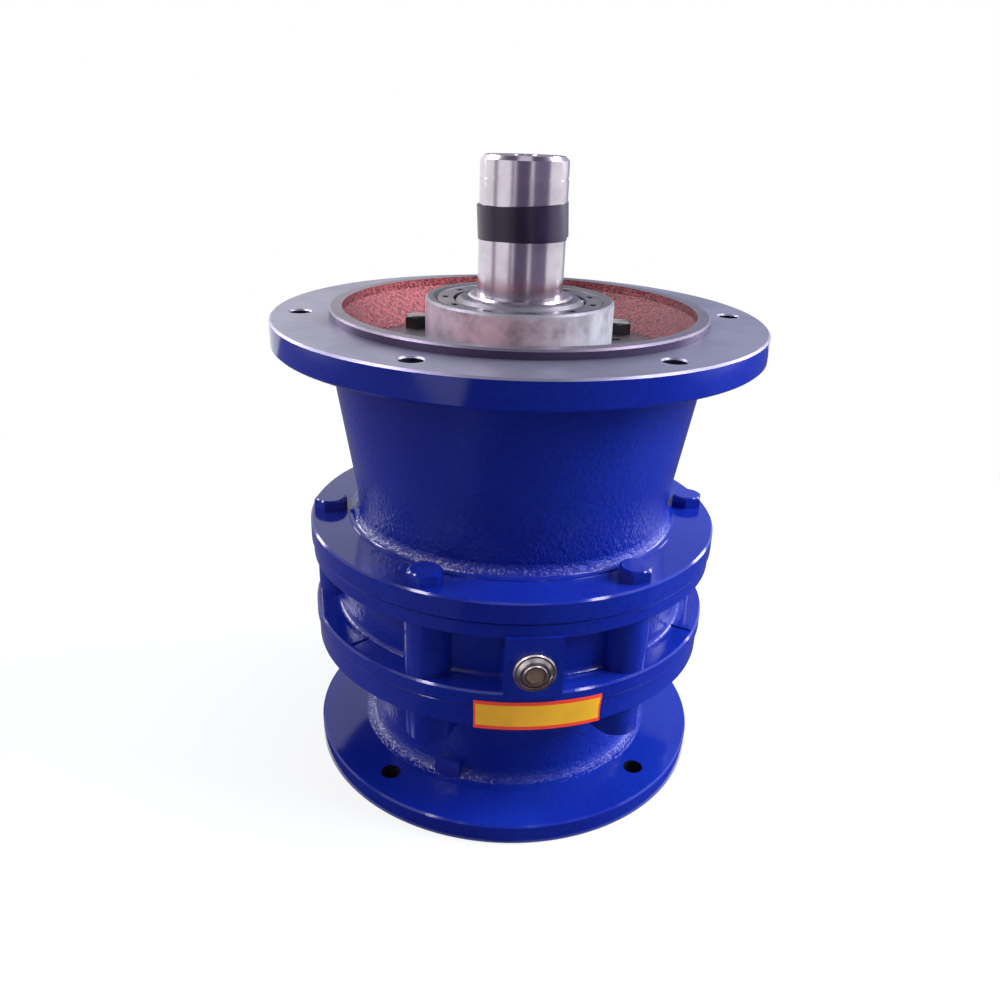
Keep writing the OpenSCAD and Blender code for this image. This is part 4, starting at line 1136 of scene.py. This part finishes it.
@dataclass
class Studio:
    """Floor, lights and camera."""

    camera: Camera = field(default_factory=Camera)
    floor: Floor = field(default_factory=Floor)
    ambient: float = 0.25
    flags: tuple[Flag, ...] = (
        Flag("flag_left", -84.0, -71.0, (0.40, 0.33, 0.42)),
        Flag("flag_front_left", -36.0, -24.0, (0.20, 0.17, 0.27)),
        Flag("flag_front", -24.0, 17.0, (0.12, 0.10, 0.16)),
        Flag("flag_front_right", 21.0, 68.0, (0.19, 0.165, 0.25)),
        Flag("flag_side_right", 140.0, 170.0, (0.42, 0.46, 0.60)),
        Flag("flag_back_low", 170.0, 184.0, (0.30, 0.25, 0.33), high=0.70),
        Flag("flag_back_high", 170.0, 184.0, (0.07, 0.14, 0.33), low=0.70))
    lamps: tuple[Lamp, ...] = (
        Lamp("key_right", 90.0, 1.35, 1.00, (1.0, 1.0), 72.0, (0.77, 0.95, 1.0)),
        Lamp("side_left", -84.0, 1.4, 1.00, (0.9, 1.2), 20.0, (0.80, 0.88, 1.0)),
        Lamp("front_fill", -8.0, 1.6, 0.8, (1.2, 0.9), 5.0, (1.0, 0.80, 0.78)),
        Lamp("top", 160.0, 0.3, 1.9, (1.2, 1.2), 24.0, (0.85, 1.0, 1.0)),
        Lamp("tube_left", -95.0, 0.85, 1.30, (2.4, 0.15), 24.0, (0.92, 0.88, 1.0),
             mirrored=True),
        Lamp("tube_right", 95.0, 0.85, 1.30, (2.4, 0.15), 24.0, (0.92, 0.88, 1.0),
             mirrored=True),
        Lamp("window_left", -122.0, 1.15, 0.60, (0.25, 0.5), 5.0, (0.92, 0.88, 1.0),
             mirrored=True),
        Lamp("window_right", 118.0, 1.15, 0.60, (0.25, 0.5), 5.0, (0.92, 0.88, 1.0),
             mirrored=True))
    mats: tuple[Mat | RingMat, ...] = (
        Mat("mat_front", -0.36, 1.10, -1.22, -0.116, (0.04, 0.035, 0.05)),
        Mat("mat_left", -1.10, -0.13, -0.80, 0.70, (0.20, 0.18, 0.26)),
        Mat("mat_right", 0.14, 1.10, -0.116, 0.14, (0.10, 0.10, 0.12)),
        Mat("mat_back", 0.0, 1.10, 0.14, 1.0, (0.10, 0.10, 0.12)),
        Mat("ceiling", -1.25, 1.25, -1.25, 1.25, (0.10, 0.09, 0.12), height=2.2),
        Mat("skylight", -0.3, 0.3, -0.3, 0.3, (0.75, 0.72, 0.85), height=2.1),
        RingMat())

    def build(self) -> None:
        """Sets the scene up; the world is white to look at, and lights only a little."""
        self.camera.build()
        self.floor.build()
        world = WorldGraph("studio")
        world.set(Color=WHITE, Strength=self.ambient + (1.0 - self.ambient) * world.shown())
        for item in (*self.flags, *self.lamps, *self.mats):
            item.build()
        bpy.context.scene.view_settings.view_transform = "Standard"


def main() -> None:
    """Builds the looks in order."""
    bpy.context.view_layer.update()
    layout = Layout()
    Studio().build()
    Castings(layout).dress()
    OutputEnd().dress()
    OilPlug().dress()
    TapeEnd().build()
    JointLabel(layout).build()
    Drive().dress()
    bpy.context.view_layer.update()


if __name__ == "__main__":
    main()
